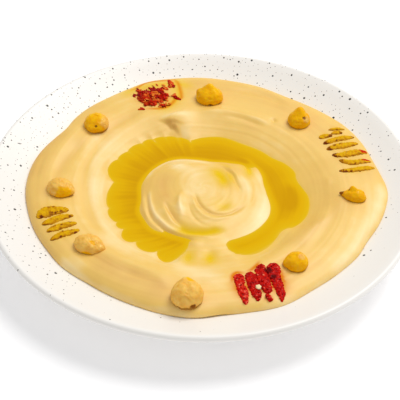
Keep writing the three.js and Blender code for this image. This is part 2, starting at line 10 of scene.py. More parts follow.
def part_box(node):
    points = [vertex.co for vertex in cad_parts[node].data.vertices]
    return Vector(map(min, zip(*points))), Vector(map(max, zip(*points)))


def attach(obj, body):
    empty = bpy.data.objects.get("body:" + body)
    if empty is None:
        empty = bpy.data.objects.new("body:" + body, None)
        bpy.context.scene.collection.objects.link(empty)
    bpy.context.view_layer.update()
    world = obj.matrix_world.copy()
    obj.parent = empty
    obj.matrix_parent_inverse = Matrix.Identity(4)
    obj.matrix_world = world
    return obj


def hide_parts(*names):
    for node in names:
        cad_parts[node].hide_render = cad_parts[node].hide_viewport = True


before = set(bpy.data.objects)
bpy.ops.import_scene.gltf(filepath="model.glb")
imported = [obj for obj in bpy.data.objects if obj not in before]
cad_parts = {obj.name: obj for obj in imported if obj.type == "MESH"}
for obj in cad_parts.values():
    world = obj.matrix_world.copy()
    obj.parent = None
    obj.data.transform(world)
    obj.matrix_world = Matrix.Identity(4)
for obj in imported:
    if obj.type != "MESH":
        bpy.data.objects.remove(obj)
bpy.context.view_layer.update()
MM = 0.001  # the frame is in metres, and the sizes below are in mm

# Plate: a small coupe plate, pressed from speckled stoneware clay and dipped in a thin satin
# white glaze, through which the iron specks of the clay burn brown. It stands on a foot ring.
PLATE_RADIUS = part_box("plate")[1].x / MM
FLOOR_RADIUS = 45
FLOOR_HEIGHT = 7
SIDE_RUN = 54
SIDE_RISE = 15.8
PLATE_WALL = 3.2
LIP_RADIUS = 97.2
FOOT_OUTER = 56.5
FOOT_INNER = 52
FOOT_RECESS = 3.2
FOOT_ROUNDING = 0.7
RECESS_FILLET = 1
RECESS_FLAT = 40
FLOOR_FLAT = 30
LAST_UNDER_RADIUS = 93
FIRST_INNER_RADIUS = 95.5
PLATE_STEPS = 240
# Specks in the clay: the spacing of their places, their largest radius, and the share of places
# that have one at the middle, which changes by so much a metre to the right and to the back.
SPECKS = [
    {"spacing": 4.2, "radius": 0.483, "share": 0.34, "shade": "#33291F"},
    {"spacing": 2.9, "radius": 0.2755, "share": 0.42, "shade": "#80786E"},
    {"spacing": 8, "radius": 0.72, "share": 0.44, "shade": "#1E1A18"},
]
SPECKS_RIGHTWARD = -2
SPECKS_BACKWARD = 4.2
SPECK_SHARPNESS = 34  # how crisp their edges are


def plate_top(radius):
    """Height of the plate's inner face, in mm."""
    return FLOOR_HEIGHT + SIDE_RISE * (np.maximum(radius - FLOOR_RADIUS, 0) / SIDE_RUN) ** 2


def arc(middle, radius, start, end, steps):
    """Points of an arc in a profile, from one angle to another in degrees."""
    turns = [math.radians(start + (end - start) * i / steps) for i in range(steps + 1)]
    return [(middle[0] + radius * math.cos(t), middle[1] + radius * math.sin(t)) for t in turns]


def spin_profile(profile, steps):
    """Turns a profile of (radius, height) points about Z into a closed form."""
    bm = bmesh.new()
    verts = [bm.verts.new((radius, 0, height)) for radius, height in profile]
    edges = [bm.edges.new(pair) for pair in zip(verts, verts[1:])]
    bmesh.ops.spin(bm, geom=verts + edges, cent=(0, 0, 0), axis=(0, 0, 1), dvec=(0, 0, 0),
                   angle=2 * math.pi, steps=steps, use_merge=True, use_duplicate=False)
    bmesh.ops.remove_doubles(bm, verts=bm.verts, dist=1e-7)
    return bm


def make_object(bm, name, material):
    """Makes an object of a bmesh, smooth and of one material."""
    mesh = bpy.data.meshes.new(name)
    bm.to_mesh(mesh)
    bm.free()
    mesh.shade_smooth()
    mesh.materials.append(material)
    made = bpy.data.objects.new(name, mesh)
    bpy.context.scene.collection.objects.link(made)
    return made


def finish_piece(bm, name, material, slot, *nodes):
    """Makes an object of a closed bmesh in mm and rides it on the dish in place of the nodes."""
    bmesh.ops.recalc_face_normals(bm, faces=bm.faces)
    bmesh.ops.scale(bm, vec=(MM, MM, MM), verts=bm.verts)
    piece = make_object(bm, name, material)
    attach(piece, "root")
    if nodes:
        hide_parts(*nodes)
    return piece


def colour(hex_value):
    """Linear RGBA of an sRGB hex colour."""
    parts = [int(hex_value[i:i + 2], 16) / 255 for i in (1, 3, 5)]
    linear = [c / 12.92 if c <= 0.04045 else ((c + 0.055) / 1.055) ** 2.4 for c in parts]
    return (*linear, 1)


def new_material(name):
    """An empty material with its Principled shader and output in place."""
    material = bpy.data.materials.new(name)
    material.use_nodes = True
    return material, material.node_tree.nodes["Principled BSDF"]


def add_node(material, kind, inputs, **settings):
    """Adds a node. Each input is a value, or an output socket to link."""
    node = material.node_tree.nodes.new(kind)
    for key, value in settings.items():
        setattr(node, key, value)
    set_inputs(material, node, inputs)
    return node


def set_inputs(material, node, inputs):
    """Sets a node's inputs, each to a value or to a link from an output socket."""
    for key, value in inputs.items():
        if isinstance(value, bpy.types.NodeSocket):
            material.node_tree.links.new(value, node.inputs[key])
        else:
            node.inputs[key].default_value = value


def object_place(material):
    """Where a point lies on its object."""
    return add_node(material, "ShaderNodeTexCoord", {}).outputs["Object"]


def point_value(material, name):
    """The value that the mesh carries on its points under a name."""
    return add_node(material, "ShaderNodeAttribute", {}, attribute_name=name).outputs["Fac"]


def reckon(material, operation, *values, **settings):
    """Result of an operation on some values or outputs."""
    return add_node(material, "ShaderNodeMath", dict(enumerate(values)), operation=operation,
                    **settings).outputs[0]


def rescale(material, value, low, high):
    """Turns a value that runs from 0 to 1 into one that runs from low to high."""
    return add_node(material, "ShaderNodeMapRange",
                    {"Value": value, "To Min": low, "To Max": high}).outputs["Result"]


def blend(material, factor, first, second):
    """Mixes two colours, from the first at 0 to the second at 1."""
    return add_node(material, "ShaderNodeMix", {"Factor": factor, "A": first, "B": second},
                    data_type="RGBA").outputs["Result"]


def colour_along(material, value, stops):
    """Colour read from a value, between stops of (value, sRGB hex colour)."""
    node = add_node(material, "ShaderNodeValToRGB", {"Fac": value})
    elements = node.color_ramp.elements
    for element, (position, shade) in zip(elements, (stops[0], stops[-1])):
        element.position, element.color = position, colour(shade)
    for position, shade in stops[1:-1]:
        elements.new(position).color = colour(shade)
    return node.outputs["Color"]


def mottle(material, size, detail):
    """Cloudy noise with patches of a size in mm."""
    return add_node(material, "ShaderNodeTexNoise",
                    {"Vector": object_place(material), "Scale": 1 / (size * MM),
                     "Detail": detail}).outputs["Fac"]


def roughen(material, height, strength, depth):
    """Normal of a surface with bumps of a depth in mm."""
    return add_node(material, "ShaderNodeBump",
                    {"Height": height, "Strength": strength,
                     "Distance": depth * MM}).outputs["Normal"]


def plate_profile():
    """Half section of the plate: recess, foot ring, underside, rounded lip and inner face."""
    def lean(radius):
        return math.atan(2 * SIDE_RISE * (radius - FLOOR_RADIUS) / SIDE_RUN ** 2)

    def below(radius):
        return (radius + PLATE_WALL * math.sin(lean(radius)),
                plate_top(radius) - PLATE_WALL * math.cos(lean(radius)))

    half = PLATE_WALL / 2
    lip_middle = (PLATE_RADIUS - half, plate_top(LIP_RADIUS) - half * math.cos(lean(LIP_RADIUS)))
    inward = math.degrees(lean(LIP_RADIUS)) + 90
    under_radii = np.linspace(FOOT_OUTER + 0.6, LAST_UNDER_RADIUS, 18)
    inner_radii = np.linspace(FIRST_INNER_RADIUS, FLOOR_RADIUS, 34)
    profile = [(0, FOOT_RECESS), (RECESS_FLAT, FOOT_RECESS)]
    profile += arc((FOOT_INNER - RECESS_FILLET, FOOT_RECESS - RECESS_FILLET), RECESS_FILLET,
                   90, 0, 4)
    profile += arc((FOOT_INNER + FOOT_ROUNDING, FOOT_ROUNDING), FOOT_ROUNDING, 180, 270, 4)
    profile += arc((FOOT_OUTER - FOOT_ROUNDING, FOOT_ROUNDING), FOOT_ROUNDING, 270, 360, 4)
    profile += [below(radius) for radius in under_radii]
    profile += arc(lip_middle, half, -48, inward, 14)
    profile += [(radius, plate_top(radius)) for radius in inner_radii]
    profile += [(FLOOR_FLAT, FLOOR_HEIGHT), (0, FLOOR_HEIGHT)]
    return [(float(radius), float(height)) for radius, height in profile]


def stoneware_glaze():
    """Satin white glaze over iron-speckled stoneware: warm white with a soft gloss, and brown
    and black specks 0.2 to 1.4 mm across, sparser towards the front."""
    material, shader = new_material("speckled_stoneware_glaze")
    place = object_place(material)
    parts = add_node(material, "ShaderNodeSeparateXYZ", {"Vector": place})
    across = reckon(material, "MULTIPLY", parts.outputs["X"], SPECKS_RIGHTWARD)
    share = reckon(material, "MULTIPLY_ADD", parts.outputs["Y"], SPECKS_BACKWARD, across)
    tint = colour("#F4F1EC")
    for speck in SPECKS:
        cells = add_node(material, "ShaderNodeTexVoronoi",
                         {"Vector": place, "Scale": 1 / (speck["spacing"] * MM)}, feature="F1",
                         voronoi_dimensions="2D")
        chance = add_node(material, "ShaderNodeSeparateColor", {"Color": cells.outputs["Color"]})
        keep = reckon(material, "ADD", share, speck["share"])
        kept = reckon(material, "LESS_THAN", chance.outputs["Red"], keep)
        largest = speck["radius"] / speck["spacing"]
        reach = rescale(material, chance.outputs["Green"], 0.35 * largest, largest)
        inside = reckon(material, "SUBTRACT", reach, cells.outputs["Distance"])
        soft = reckon(material, "MULTIPLY", inside, SPECK_SHARPNESS, use_clamp=True)
        tint = blend(material, reckon(material, "MULTIPLY", soft, kept), tint,
                     colour(speck["shade"]))
    ripple = roughen(material, mottle(material, 2.4, 2.0), 0.05, 0.2)
    set_inputs(material, shader, {"Base Color": tint, "Roughness": 0.38, "IOR": 1.5,
                                  "Normal": ripple})
    return material


plate_bm = spin_profile(plate_profile(), PLATE_STEPS)
finish_piece(plate_bm, "coupe_plate", stoneware_glaze(), "glazed_stoneware", "plate")

# Hummus: boiled chickpeas beaten with tahini to a smooth, pale, heavy paste. It is spread with
# the back of a spoon, which leaves a raised ring, a hollow with a swirled mound in its middle,
# petal-shaped dents along the hollow's left, and folds where the spoon was lifted.
HOLLOW_FLOOR = 11.2
FLOOR_POWER = 8  # how late the hollow's floor turns up to its edge
OIL_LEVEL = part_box("oil_pool")[1].z / MM
MOUND_TOP = 18.2
MOUND_ROOT = 9.7  # below the hollow's floor, so that its foot is sharp
FOOT_POWER = 0.75
FILLET = 1.2  # how softly the mound meets the hollow
OUTSIDE_POWER = 4  # how full the outside of the ring is
# Outline, crest and hollow of the ring by angle from +X, in degrees, as (angle, value)
OUTLINE_RADIUS = [
    (0, 86.2), (10, 84.8), (16, 84.3), (26, 84.8), (36, 84.7), (46, 83.7), (60, 83), (70, 84.2),
    (80, 84.8), (90, 85.6), (100, 85.8), (109, 86), (117, 84.6), (125, 83.5), (134, 82.8),
    (141, 81.6), (147, 80), (153, 80.4), (160, 81.6), (168, 82.3), (180, 82), (190, 81),
    (200, 80.3), (210, 79.4), (220, 79.2), (230, 77.4), (238, 77.4), (248, 78.1), (257, 79.6),
    (265, 81), (270, 80.7), (277, 78.6), (285, 78.7), (296, 80.6), (308, 78.9), (320, 79.6),
    (330, 81), (337, 81), (345, 83.2), (352, 84.9),
]
CREST_RADIUS = [
    (0, 68), (20, 68), (40, 64), (60, 61), (90, 58.5), (112, 58), (128, 64), (140, 69),
    (155, 71), (170, 72), (185, 71.5), (197, 69), (210, 65.5), (225, 62.5), (240, 61.5),
    (252, 62.5), (262, 64), (273, 62), (285, 60), (300, 57), (315, 55.5), (330, 57), (345, 63),
]
CREST_HEIGHT = [
    (0, 18.8), (60, 19), (110, 19.2), (150, 18.4), (180, 18), (210, 18), (240, 18.4), (270, 18.2),
    (300, 17.8), (330, 18.2),
]
HOLLOW_RADIUS = [
    (0, 49.3), (5, 47.6), (10, 46.1), (15, 46), (21, 47), (30, 45.7), (39, 43), (48, 42.6),
    (63, 41.9), (78, 43.1), (90, 41.6), (99, 40.2), (105, 42.3), (112, 44.8), (120, 46),
    (129, 46.5), (140, 46.7), (149.5, 47), (160, 45.2), (170, 42.1), (182, 42.6), (194.5, 44),
    (208, 43.6), (215.5, 43), (228.5, 44), (243.5, 43.6), (258.5, 44), (266, 44.5), (280, 44),
    (287, 43.4), (292, 45.4), (297, 47.2), (304, 48), (315, 47.6), (325, 46), (331, 47.3),
    (338, 49.3), (345, 50.5), (350, 50.4), (355, 50.1),
]
# Petals along the left of the hollow as (angle of the notch where one starts, reach). Those in
# front lean to one side.
LOBES = [
    (99, 0.5), (107, 0.4), (114, 0.8), (121.5, 1.3), (129, 1.5), (140, 0.9), (149.5, 2.6),
    (170, 1.6), (194.5, 1.6), (208, 1.8), (215.5, 3.9), (228.5, 3.1), (243.5, 5.4), (258.5, 0),
]
LOBE_OUTWARD = 2.2  # how far a lobe's relief runs out of the hollow, and into it
LOBE_INWARD = 7
LOBE_TURN = 1.1  # degrees of lean to each mm
LEAN_FROM = 195
LEAN_SPAN = 35
LOBE_ROUNDNESS = 0.6
NOTCH_RIDGE = 0.5
NOTCH_WIDTH = 0.9
NOTCH_LENGTH = 14
NOTCH_RISE = 2
# Fine ridges under the oil: a fan of them between two angles, so many to a turn, and rings on
# the other side, in radians to a mm.
FAN_TURNS = (19, 31, 47, 71, 97)
FAN_HEIGHT = 0.14
FAN_FROM = 90
FAN_TO = 275
FAN_BLEND = 20
RING_WAVES = (1.3, 2.1, 3.4)
RING_HEIGHT = 0.07
MOUND_RADIUS = [
    (0, 30.1), (9, 29.6), (18, 29.5), (28, 30.6), (36, 31), (45, 29.6), (54, 27.2), (62, 25.6),
    (78, 23.7), (90, 24.2), (102, 25.3), (114, 27.2), (126, 28.2), (150, 28.3), (168, 28.7),
    (184, 28), (192, 28.5), (204, 31), (216, 31.8), (228, 33), (240, 31.6),
    (255, 31.2), (270, 32.4), (285, 33.4), (300, 33.8), (312, 34.4), (324, 34.4), (336, 33.9),
    (348, 32.2),
]
# How full the mound's shoulder is
MOUND_FULLNESS = [(0, 2.6), (30, 3), (60, 3.6), (180, 3.6), (230, 3.4), (270, 2.4), (310, 2.1)]
# The bridge of paste that joins the mound to the ring in front and parts the oil there
BRIDGE_HEIGHT = 14.5
BRIDGE_BACK = -33.7
BRIDGE_MIDDLE = 3.6
BRIDGE_LEAN = 0.31
BRIDGE_HALF = 7.4
BRIDGE_WIDENING = 0.36
BRIDGE_POWER = 2.5
BRIDGE_START = -22
BRIDGE_LENGTH = 16
BRIDGE_OVERLAP = 10
# Spoon strokes as (kind, height, reach left, reach right, softness, path). A lip stands up along
# its path, or is a groove if its height is below 0. A fold stands higher on its path's left.
STROKES = [
    # Ridge and furrows down the left of the ring
    ("lip", 0.7, 4, 3, 1, [(-58, 44), (-63.5, 36), (-68, 27), (-71, 18), (-72.5, 8), (-72, -12)]),
    ("lip", -0.9, 3, 3, 1, [(-57, 34), (-60.5, 26), (-64, 19), (-66.5, 12), (-67.5, 3)]),
    ("lip", -0.75, 2.4, 2.8, 0.8, [(-29, 54.5), (-41.5, 46), (-49.5, 34), (-54.5, 18), (-55, 8),
        (-54.3, -2), (-50, -21), (-44, -32)]),
    ("lip", -0.3, 1.2, 1.2, 0.4, [(-73.5, 26), (-75.5, 18), (-77, 9), (-77.5, 0)]),
    # Fold behind the mound, where the spoon was lifted: its steep edge, then its crest
    ("fold", 1.9, 7, 3, 0.35, [(-19.2, 50.7), (-18, 48.7), (-16.9, 48.1), (-15.2, 46.5),
        (-13.7, 46), (-11.1, 41.6)]),
    ("fold", 0.5, 4, 3, 0.4, [(-12.1, 43), (-9.2, 40.4), (-5.2, 36.4), (-1.3, 35), (2.6, 33.5)]),
    ("fold", 1.1, 5, 2, 0.25, [(-23.5, 48.2), (-21.1, 48.9), (-16.7, 48.2), (-12.8, 47.9),
        (-8.8, 47)]),
    ("lip", 1.2, 1.4, 3, 0.4, [(-21.8, 48.6), (-19.1, 49.7), (-14.8, 51.1), (-8.9, 52.4),
        (-3.6, 53.1)]),
    ("lip", 1.1, 2, 3, 0.4, [(-3.6, 54.8), (8.2, 55.7), (13.1, 54.8), (18, 53.2), (22.8, 51.4),
        (30.1, 48.1), (34, 46.8)]),
    # Furrow before that fold, and the nick at its end
    ("lip", -0.9, 2.4, 1.4, 0.3, [(8.2, 53), (13.1, 52.7), (18, 51.5), (22.8, 49.2), (27.7, 46.6),
        (33, 45.2)]),
    ("lip", -1, 0.8, 0.8, 0.3, [(34.3, 51.4), (34.5, 47.2)]),
    # Groove, ridge and furrow at the back right
    ("lip", -0.7, 2.4, 2.4, 0.8, [(12, 74), (24, 72), (33, 67.5), (42, 60)]),
    ("lip", 0.5, 1.6, 1.6, 0.6, [(14, 77.8), (27, 74.5), (37, 69), (45, 62)]),
    ("lip", -0.35, 2.5, 2.5, 1, [(44, 42), (52, 36), (58, 30), (62, 23), (64, 15)]),
    # Ridge and groove at the front right
    ("lip", 0.5, 3.5, 3, 1, [(56, -8), (52.5, -24), (48, -32), (41, -40.5)]),
    ("lip", -0.45, 3, 2, 0.8, [(62, -8), (58.5, -20), (55, -27), (51.5, -33), (46, -41)]),
    # Crest and thin grooves at the front left
    ("lip", 0.8, 6, 2.5, 0.8, [(-50, -40), (-38, -49), (-30, -52.5), (-19, -59), (-12, -66)]),
    ("lip", -0.3, 1.2, 1.2, 0.4, [(-38, -55.5), (-30, -59), (-22, -62.2)]),
    ("lip", -0.25, 1.5, 1.5, 0.5, [(-39, -42), (-35, -45), (-30, -49)]),
    # Low lips at the front and the right
    ("lip", 0.3, 3, 1.6, 0.5, [(-3, -62.6), (6, -61.4), (17, -57)]),
    ("lip", 0.3, 1.1, 1.1, 0.4, [(58.6, 10), (59.4, 2)]),
    # Bank and trough under the oil at the right
    ("lip", 0.7, 2.6, 2.6, 1.5, [(4, -40), (16, -40), (28, -34), (36.5, -24), (39, -14)]),
    ("lip", -0.8, 2.6, 2.6, 1.5, [(40, 12), (42.4, 3), (42.4, -4), (40, -14)]),
    # Swirl on the mound: its crest, its main groove and the lip outside that
    ("lip", 1.3, 1.6, 1.3, 0.25, [(-7.3, -1.4), (-9.6, -5.3), (-10.4, -10.9), (-9.6, -16.6),
        (-9.1, -21.2)]),
    ("lip", -1.2, 1.4, 0.8, 0.2, [(-17.3, -8.4), (-15.4, -14.3), (-12.7, -19.6), (-9.8, -23.1),
        (-6.9, -25.7)]),
    ("lip", 0.55, 1.4, 1.4, 0.3, [(-19.3, -7.9), (-16.8, -15.4), (-14.1, -21.2), (-11.4, -24.3)]),
    # Thin lips and grooves round the left of the mound
    ("lip", 0.6, 0.9, 0.9, 0.15, [(-24.5, 1.3), (-23.9, -7.9), (-22.2, -15.4), (-18.9, -21),
        (-15.4, -24.7), (-11.9, -26.9), (-7.4, -28.6), (-2.9, -29.6), (2.8, -30.3), (8.4, -28.9)]),
    ("lip", -0.75, 0.7, 0.7, 0.15, [(-25.9, 0.9), (-24.6, -11.9), (-22.4, -19.1), (-18.8, -23.7),
        (-14.2, -27.8), (-9.6, -30.3), (-3.9, -32), (1.1, -33.1)]),
    ("lip", 0.4, 0.7, 0.7, 0.15, [(-27.5, 3.3), (-27.5, -6.1), (-26, -14.5), (-23.5, -20.8),
        (-19.3, -25)]),
    # Thin lips and grooves round the back of the mound
    ("lip", 0.6, 0.9, 0.9, 0.15, [(-26.6, 8.8), (-24.7, 13.7), (-21.3, 17.5), (-16.6, 20.9),
        (-10.7, 21.1), (-4.8, 21), (1.8, 19.8)]),
    ("lip", -0.45, 0.8, 0.8, 0.15, [(-23.4, 10.1), (-20, 14.6), (-15.4, 17.4), (-10.1, 18.1),
        (-3.6, 18.2), (4.7, 17.1)]),
    ("lip", 0.35, 1.2, 0.8, 0.3, [(-16.5, 14.9), (-11.8, 15.7), (-7, 13.7)]),
    # Inner grooves of the swirl, and the lip between them
    ("lip", -0.65, 0.8, 0.8, 0.15, [(-4.4, -2.6), (-3.2, -5.8), (-1.4, -11.2), (2.1, -15.7),
        (6.6, -17.7), (11.8, -17.1), (16.3, -14), (21, -9.4)]),
    ("lip", 0.45, 0.9, 0.9, 0.2, [(-4.7, -5.1), (-2.8, -13.6), (1.2, -18.9), (6.6, -20.4),
        (12.9, -18.3), (18.1, -14.9)]),
    ("lip", -0.35, 0.7, 0.7, 0.15, [(-6.6, -9.3), (-4.8, -17.2), (-0.7, -22.7), (5, -24.4)]),
    # Lines and broad crest at the right of the mound
    ("lip", -0.7, 0.8, 0.8, 0.15, [(6.5, 18.9), (10.6, 13.8), (14.1, 9.6), (16.4, 2.4),
        (19.3, -4.3)]),
    ("lip", 0.5, 1, 1, 0.2, [(9.8, 19.5), (13.6, 13.6), (16.5, 8.7), (18.5, 2.3)]),
    ("lip", 0.8, 3, 3, 1, [(18.2, 9.8), (21.1, 4.5), (21.6, -1.8), (21, -10.3)]),
    ("lip", -0.4, 0.8, 0.8, 0.2, [(23.8, 8.5), (24.6, 1.3), (23.6, -7.3), (20.9, -13.4)]),
    # Dips in the mound, where oil has run
    ("lip", -0.5, 2.4, 2.4, 0.8, [(4.2, 13.7), (7.4, 9.9), (9.7, 5.4), (10, -1.9)]),
    ("lip", -0.35, 2.4, 2.4, 1, [(3.7, -13.7), (9.8, -12.4), (15.8, -11.8)]),
    ("lip", -0.8, 1.6, 1.6, 0.5, [(-14.2, -24.9), (-9.1, -26.1), (-4.6, -27.5), (1.6, -27.6),
        (6.1, -26.5), (12.3, -25.1)]),
    ("lip", -0.9, 1.2, 1.2, 0.3, [(15, 26.3), (19.7, 23.2), (22, 18.1), (22.1, 11.2)]),
    # Lip of the mound at the back right, and the hollow at its left
    ("lip", 0.7, 0.9, 0.9, 0.15, [(16.2, 27.3), (21.6, 25.9), (25, 20.3), (27.5, 12.8),
        (28.5, 4.8)]),
    ("lip", -0.75, 4, 4, 1.5, [(-18, 12), (-16, 2), (-14, -8)]),
    # Paste between the mound and the last petal of oil, and two furrows in front of it
    ("lip", 0.9, 2.4, 2.4, 0.6, [(-8.6, -31.4), (-4, -33), (2, -33.8)]),
    ("lip", -0.4, 2, 2, 0.6, [(-3.4, -35), (-5.6, -43), (-7, -50)]),
    ("lip", -0.6, 2.3, 2.3, 0.8, [(2.6, -34), (4, -42), (4.4, -50)]),
]
# Thin films of oil as (amount, half width, path), where some has run on and before the mound.
OIL_FILMS = [
    # On the mound
    (1, 3.6, [(2.4, 16.9), (4.7, 12.7), (7.4, 9.9), (9.7, 5.4), (10, -3.7)]),
    (0.8, 2, [(8.3, 15.6), (11.2, 11.6), (13.2, 6.4), (11.8, -1.7)]),
    (0.75, 3.6, [(2.6, -14.2), (6, -13), (9.7, -12.2), (14.1, -11.9), (17.5, -11.6)]),
    (1, 2.7, [(-16.5, -24.2), (-13.1, -25.1), (-9.1, -26.1), (-4.6, -27.5), (1.6, -27.6),
        (6.1, -26.5), (10.6, -25.5), (14, -23.7)]),
    (0.7, 1.4, [(-1.8, -26.5), (3.3, -26.4), (8.4, -24.9), (14, -22.4)]),
    (1, 2.2, [(14.4, 27.3), (19.7, 23.2), (21.9, 17.4), (22.1, 10.2), (21.7, 5.5)]),
    (0.5, 1.1, [(5.9, 20.6), (10.7, 17.6), (15.3, 11.6)]),
    # In front of it
    (0.9, 3.2, [(-5.3, -33.9), (-5.6, -39.8), (-5.7, -44.1), (-5.8, -53.4)]),
    (1, 3.2, [(4.5, -35.5), (4.2, -39.1), (4, -43), (3.9, -53.1)]),
    # Round the chilli flakes
    (0.75, 3.4, [(-44, 66), (-34, 73), (-24, 76.4), (-15, 77), (-2, 74)]),
    (0.7, 3, [(-14, 88), (-13, 75), (-13, 66), (-18, 58), (-26, 55)]),
]
# Where oil that the spices have coloured soaks into the hummus, as (amount, half width, path).
SPICE_STAINS = [
    # Round the rows of chilli
    (1.4, 0.7, [(12, -66), (13.6, -62), (14, -58.6), (15.6, -56.4), (18, -56.4), (22, -56)]),
    (1.4, 0.6, [(18, -56.4), (21.6, -54.6), (23.6, -52.6), (25, -50), (26, -46)]),
    (1.2, 0.6, [(34, -50), (35.2, -54), (35.4, -58), (36.4, -62), (37, -68)]),
    # Round its flakes
    (1.2, 4.4, [(-36, 66), (-30, 65.5), (-24, 66), (-18, 67), (-14, 69)]),
    (0.9, 0.6, [(-40, 73), (-34.5, 73.3), (-29.3, 79), (-23.5, 80.6), (-17.2, 81.2), (-12, 83)]),
    (0.9, 0.6, [(-14, 86), (-14.3, 81.1), (-12.5, 76.4), (-11, 65.7), (-13.5, 64.9), (-15.8, 60.2),
        (-19.8, 56.8), (-26.4, 56.3), (-32, 56)]),
]
# Painted light and shade on the paste, written as above: above 0 a painted sheen where it faces
# the lamp, below 0 painted shade in its furrows and creases and on slopes turned from the light.
PAINTED_LIGHT_ON_PASTE = [
    # Broad painted light and shade over the ring and the mound
    (0.3, 8, [(-5, 20), (-3, 10), (-2, 0), (-3, -12)]),
    (0.45, 5, [(-40, 48), (-49, 34), (-52, 12), (-50, -8), (-42, -31), (-32, -39.5), (-19, -43),
        (0, -57), (14, -60)]),
    (-0.45, 7, [(-14, 78), (4, 76), (23, 70.5), (46, 56), (62, 36), (74, 20), (80, 4)]),
    (-0.4, 5, [(36, -40), (44, -34), (54, -23), (64, -12), (72, 0)]),
    (0.4, 3, [(-81, 10), (-80, -3), (-76, -23), (-67, -41), (-50, -60), (-30, -73), (-15, -79),
        (0, -81), (21, -77), (39, -69), (57, -53), (74, -28), (82, -7), (84, 8)]),
    (-0.5, 6, [(-52, -50), (-44, -55), (-33, -61), (-22, -66), (-10, -71)]),
    (-0.75, 4.4, [(-20, 14), (-18.4, 6), (-17.6, -4), (-14, -14)]),
    (-0.4, 3.4, [(8, 22), (11, 17), (12.4, 4), (13, -4)]),
    (0.5, 4, [(8, -40), (14, -36), (23, -27), (29, -14), (31, 2)]),
    (-0.3, 5, [(-78, 26), (-70, 40), (-60, 54), (-48, 64)]),
    (-0.7, 6, [(-68, 46), (-76, 30), (-80, 10), (-79, -14), (-72, -36), (-60, -52)]),
    (-0.3, 8, [(50, 24), (56, 12), (58, -2), (55, -16)]),
    (-0.25, 6, [(-30, -70), (0, -76), (24, -72), (44, -62), (60, -46)]),
    # Painted shade in the furrows of the ring
    (-0.45, 2, [(-25, 58), (-41.5, 46), (-49.5, 34), (-54.5, 18), (-55, 8), (-54.3, -2), (-50, -21),
        (-42, -34)]),
    (-0.45, 2, [(-54, 40), (-60.5, 26), (-64, 19), (-66.5, 12), (-67.8, -4)]),
    (-0.5, 1.6, [(-54, -41), (-40, -52.5), (-30, -57), (-19, -63.5), (-12, -70)]),
    # Painted highlights on the crests of the mound, and painted shade in its grooves
    (0.5, 1.2, [(-9.6, -4), (-10, -10.8), (-9.3, -16.6), (-8.8, -22.6)]),
    (0.4, 3, [(20.8, 20.1), (25.4, 13.5), (28.3, 6.6), (30.2, -1.9), (30.6, -9.1), (27.8, -17),
        (24.3, -22.1)]),
    (0.5, 0.8, [(-26.6, 6), (-24.7, 13.7), (-21.3, 17.5), (-16.6, 20.9), (-10.7, 21.1), (-4.8, 21),
        (1.8, 19.8), (8, 19)]),
    (0.5, 0.8, [(-24.5, 4), (-23.9, -7.9), (-22.2, -15.4), (-18.9, -21), (-15.4, -24.7),
        (-8, -28.4)]),
    (0.6, 3, [(-18, 15.6), (-14, 16), (-9, 15.4), (-4, 13)]),
    (0.5, 2.6, [(16.5, 12.7), (19.4, 5.6), (21.1, -0.2), (21, -7.2)]),
    (-0.5, 0.9, [(-17.9, -6.9), (-15.4, -14.3), (-12.7, -19.6), (-9.8, -23.1), (-6.3, -25.9)]),
    (-0.5, 0.9, [(-4.1, -2.6), (-1.4, -11.2), (2.1, -15.7), (6.6, -17.7), (11.8, -17.1),
        (16.3, -14), (21.6, -8.5)]),
    # Painted light and shade on the fold behind the mound
    (0.5, 1.4, [(-24, 49.4), (-19.4, 50.6), (-14.8, 52), (-8.9, 53.6), (-2, 54.6)]),
    (-0.7, 1.2, [(-19.6, 48.6), (-16.9, 48.1), (-15.2, 46.5), (-13.7, 46), (-11.1, 41.5),
        (-8.7, 39.6)]),
    (-0.5, 1, [(-22.5, 48.4), (-16.7, 48.1), (-12.7, 47.8), (-7.9, 46.7)]),
    (0.4, 3, [(-14.7, 47.2), (-11.2, 44.5), (-7.3, 41.5), (-3.3, 40.7)]),
    (0.35, 1.6, [(16, 53.6), (22.8, 51.4), (30.1, 48.1), (34.5, 46.5)]),
    (-0.35, 3, [(13.1, 51.9), (18, 50.5), (22.8, 48.1), (27.7, 45.6), (33, 44.1)]),
]
STROKE_TAPER = 9  # the way at each end over which a stroke rises
STROKE_FALL = 1.5  # how steeply it falls to its sides
MARK_SOFTNESS = 0.4
# Streaks that run round with the spoon, finer than its strokes
STREAK_WAVES = 9
STREAK_LENGTHS = (1.6, 6)
STREAK_HEIGHT = 0.02
STREAK_TONE = 0.014
# Paste that takes up oil beside the pool: how much, how high above it, and how far out
SEEP = 0.3
SEEP_HEIGHT = 0.35
SEEP_REACH = 52
HUMMUS_STEPS = 500
HUMMUS_RINGS = 174
EDGE_RINGS = 16
LAST_EVEN_SHARE = 0.94
HUMMUS_LIFT = 0.05


def around(table, angle):
    """Reads a closed table of (angle, value) on a smooth curve, at angles in degrees."""
    angles, values = np.array(table, float).T
    turned = np.mod(angle, 360)
    at = np.searchsorted(angles, turned, side="right") - 1
    count = len(angles)

    def entry(i):
        return angles[np.mod(i, count)] + 360 * np.floor_divide(i, count), values[np.mod(i, count)]

    (a0, v0), (a1, v1), (a2, v2), (a3, v3) = (entry(at + k) for k in (-1, 0, 1, 2))
    t = (turned - a1) / (a2 - a1)
    slope1 = (v2 - v0) / (a2 - a0) * (a2 - a1)
    slope2 = (v3 - v1) / (a3 - a1) * (a2 - a1)
    return hermite(t, v1, slope1, v2, slope2)


def hermite(t, start, start_slope, end, end_slope):
    """Curve from start to end, with a slope given at each, as t goes from 0 to 1."""
    return ((2 * t ** 3 - 3 * t ** 2 + 1) * start + (t ** 3 - 2 * t ** 2 + t) * start_slope
            + (3 * t ** 2 - 2 * t ** 3) * end + (t ** 3 - t ** 2) * end_slope)


def ease(t):
    """Rises smoothly from 0 to 1 as t does, and stays there beyond."""
    t = np.clip(t, 0, 1)
    return t * t * (3 - 2 * t)


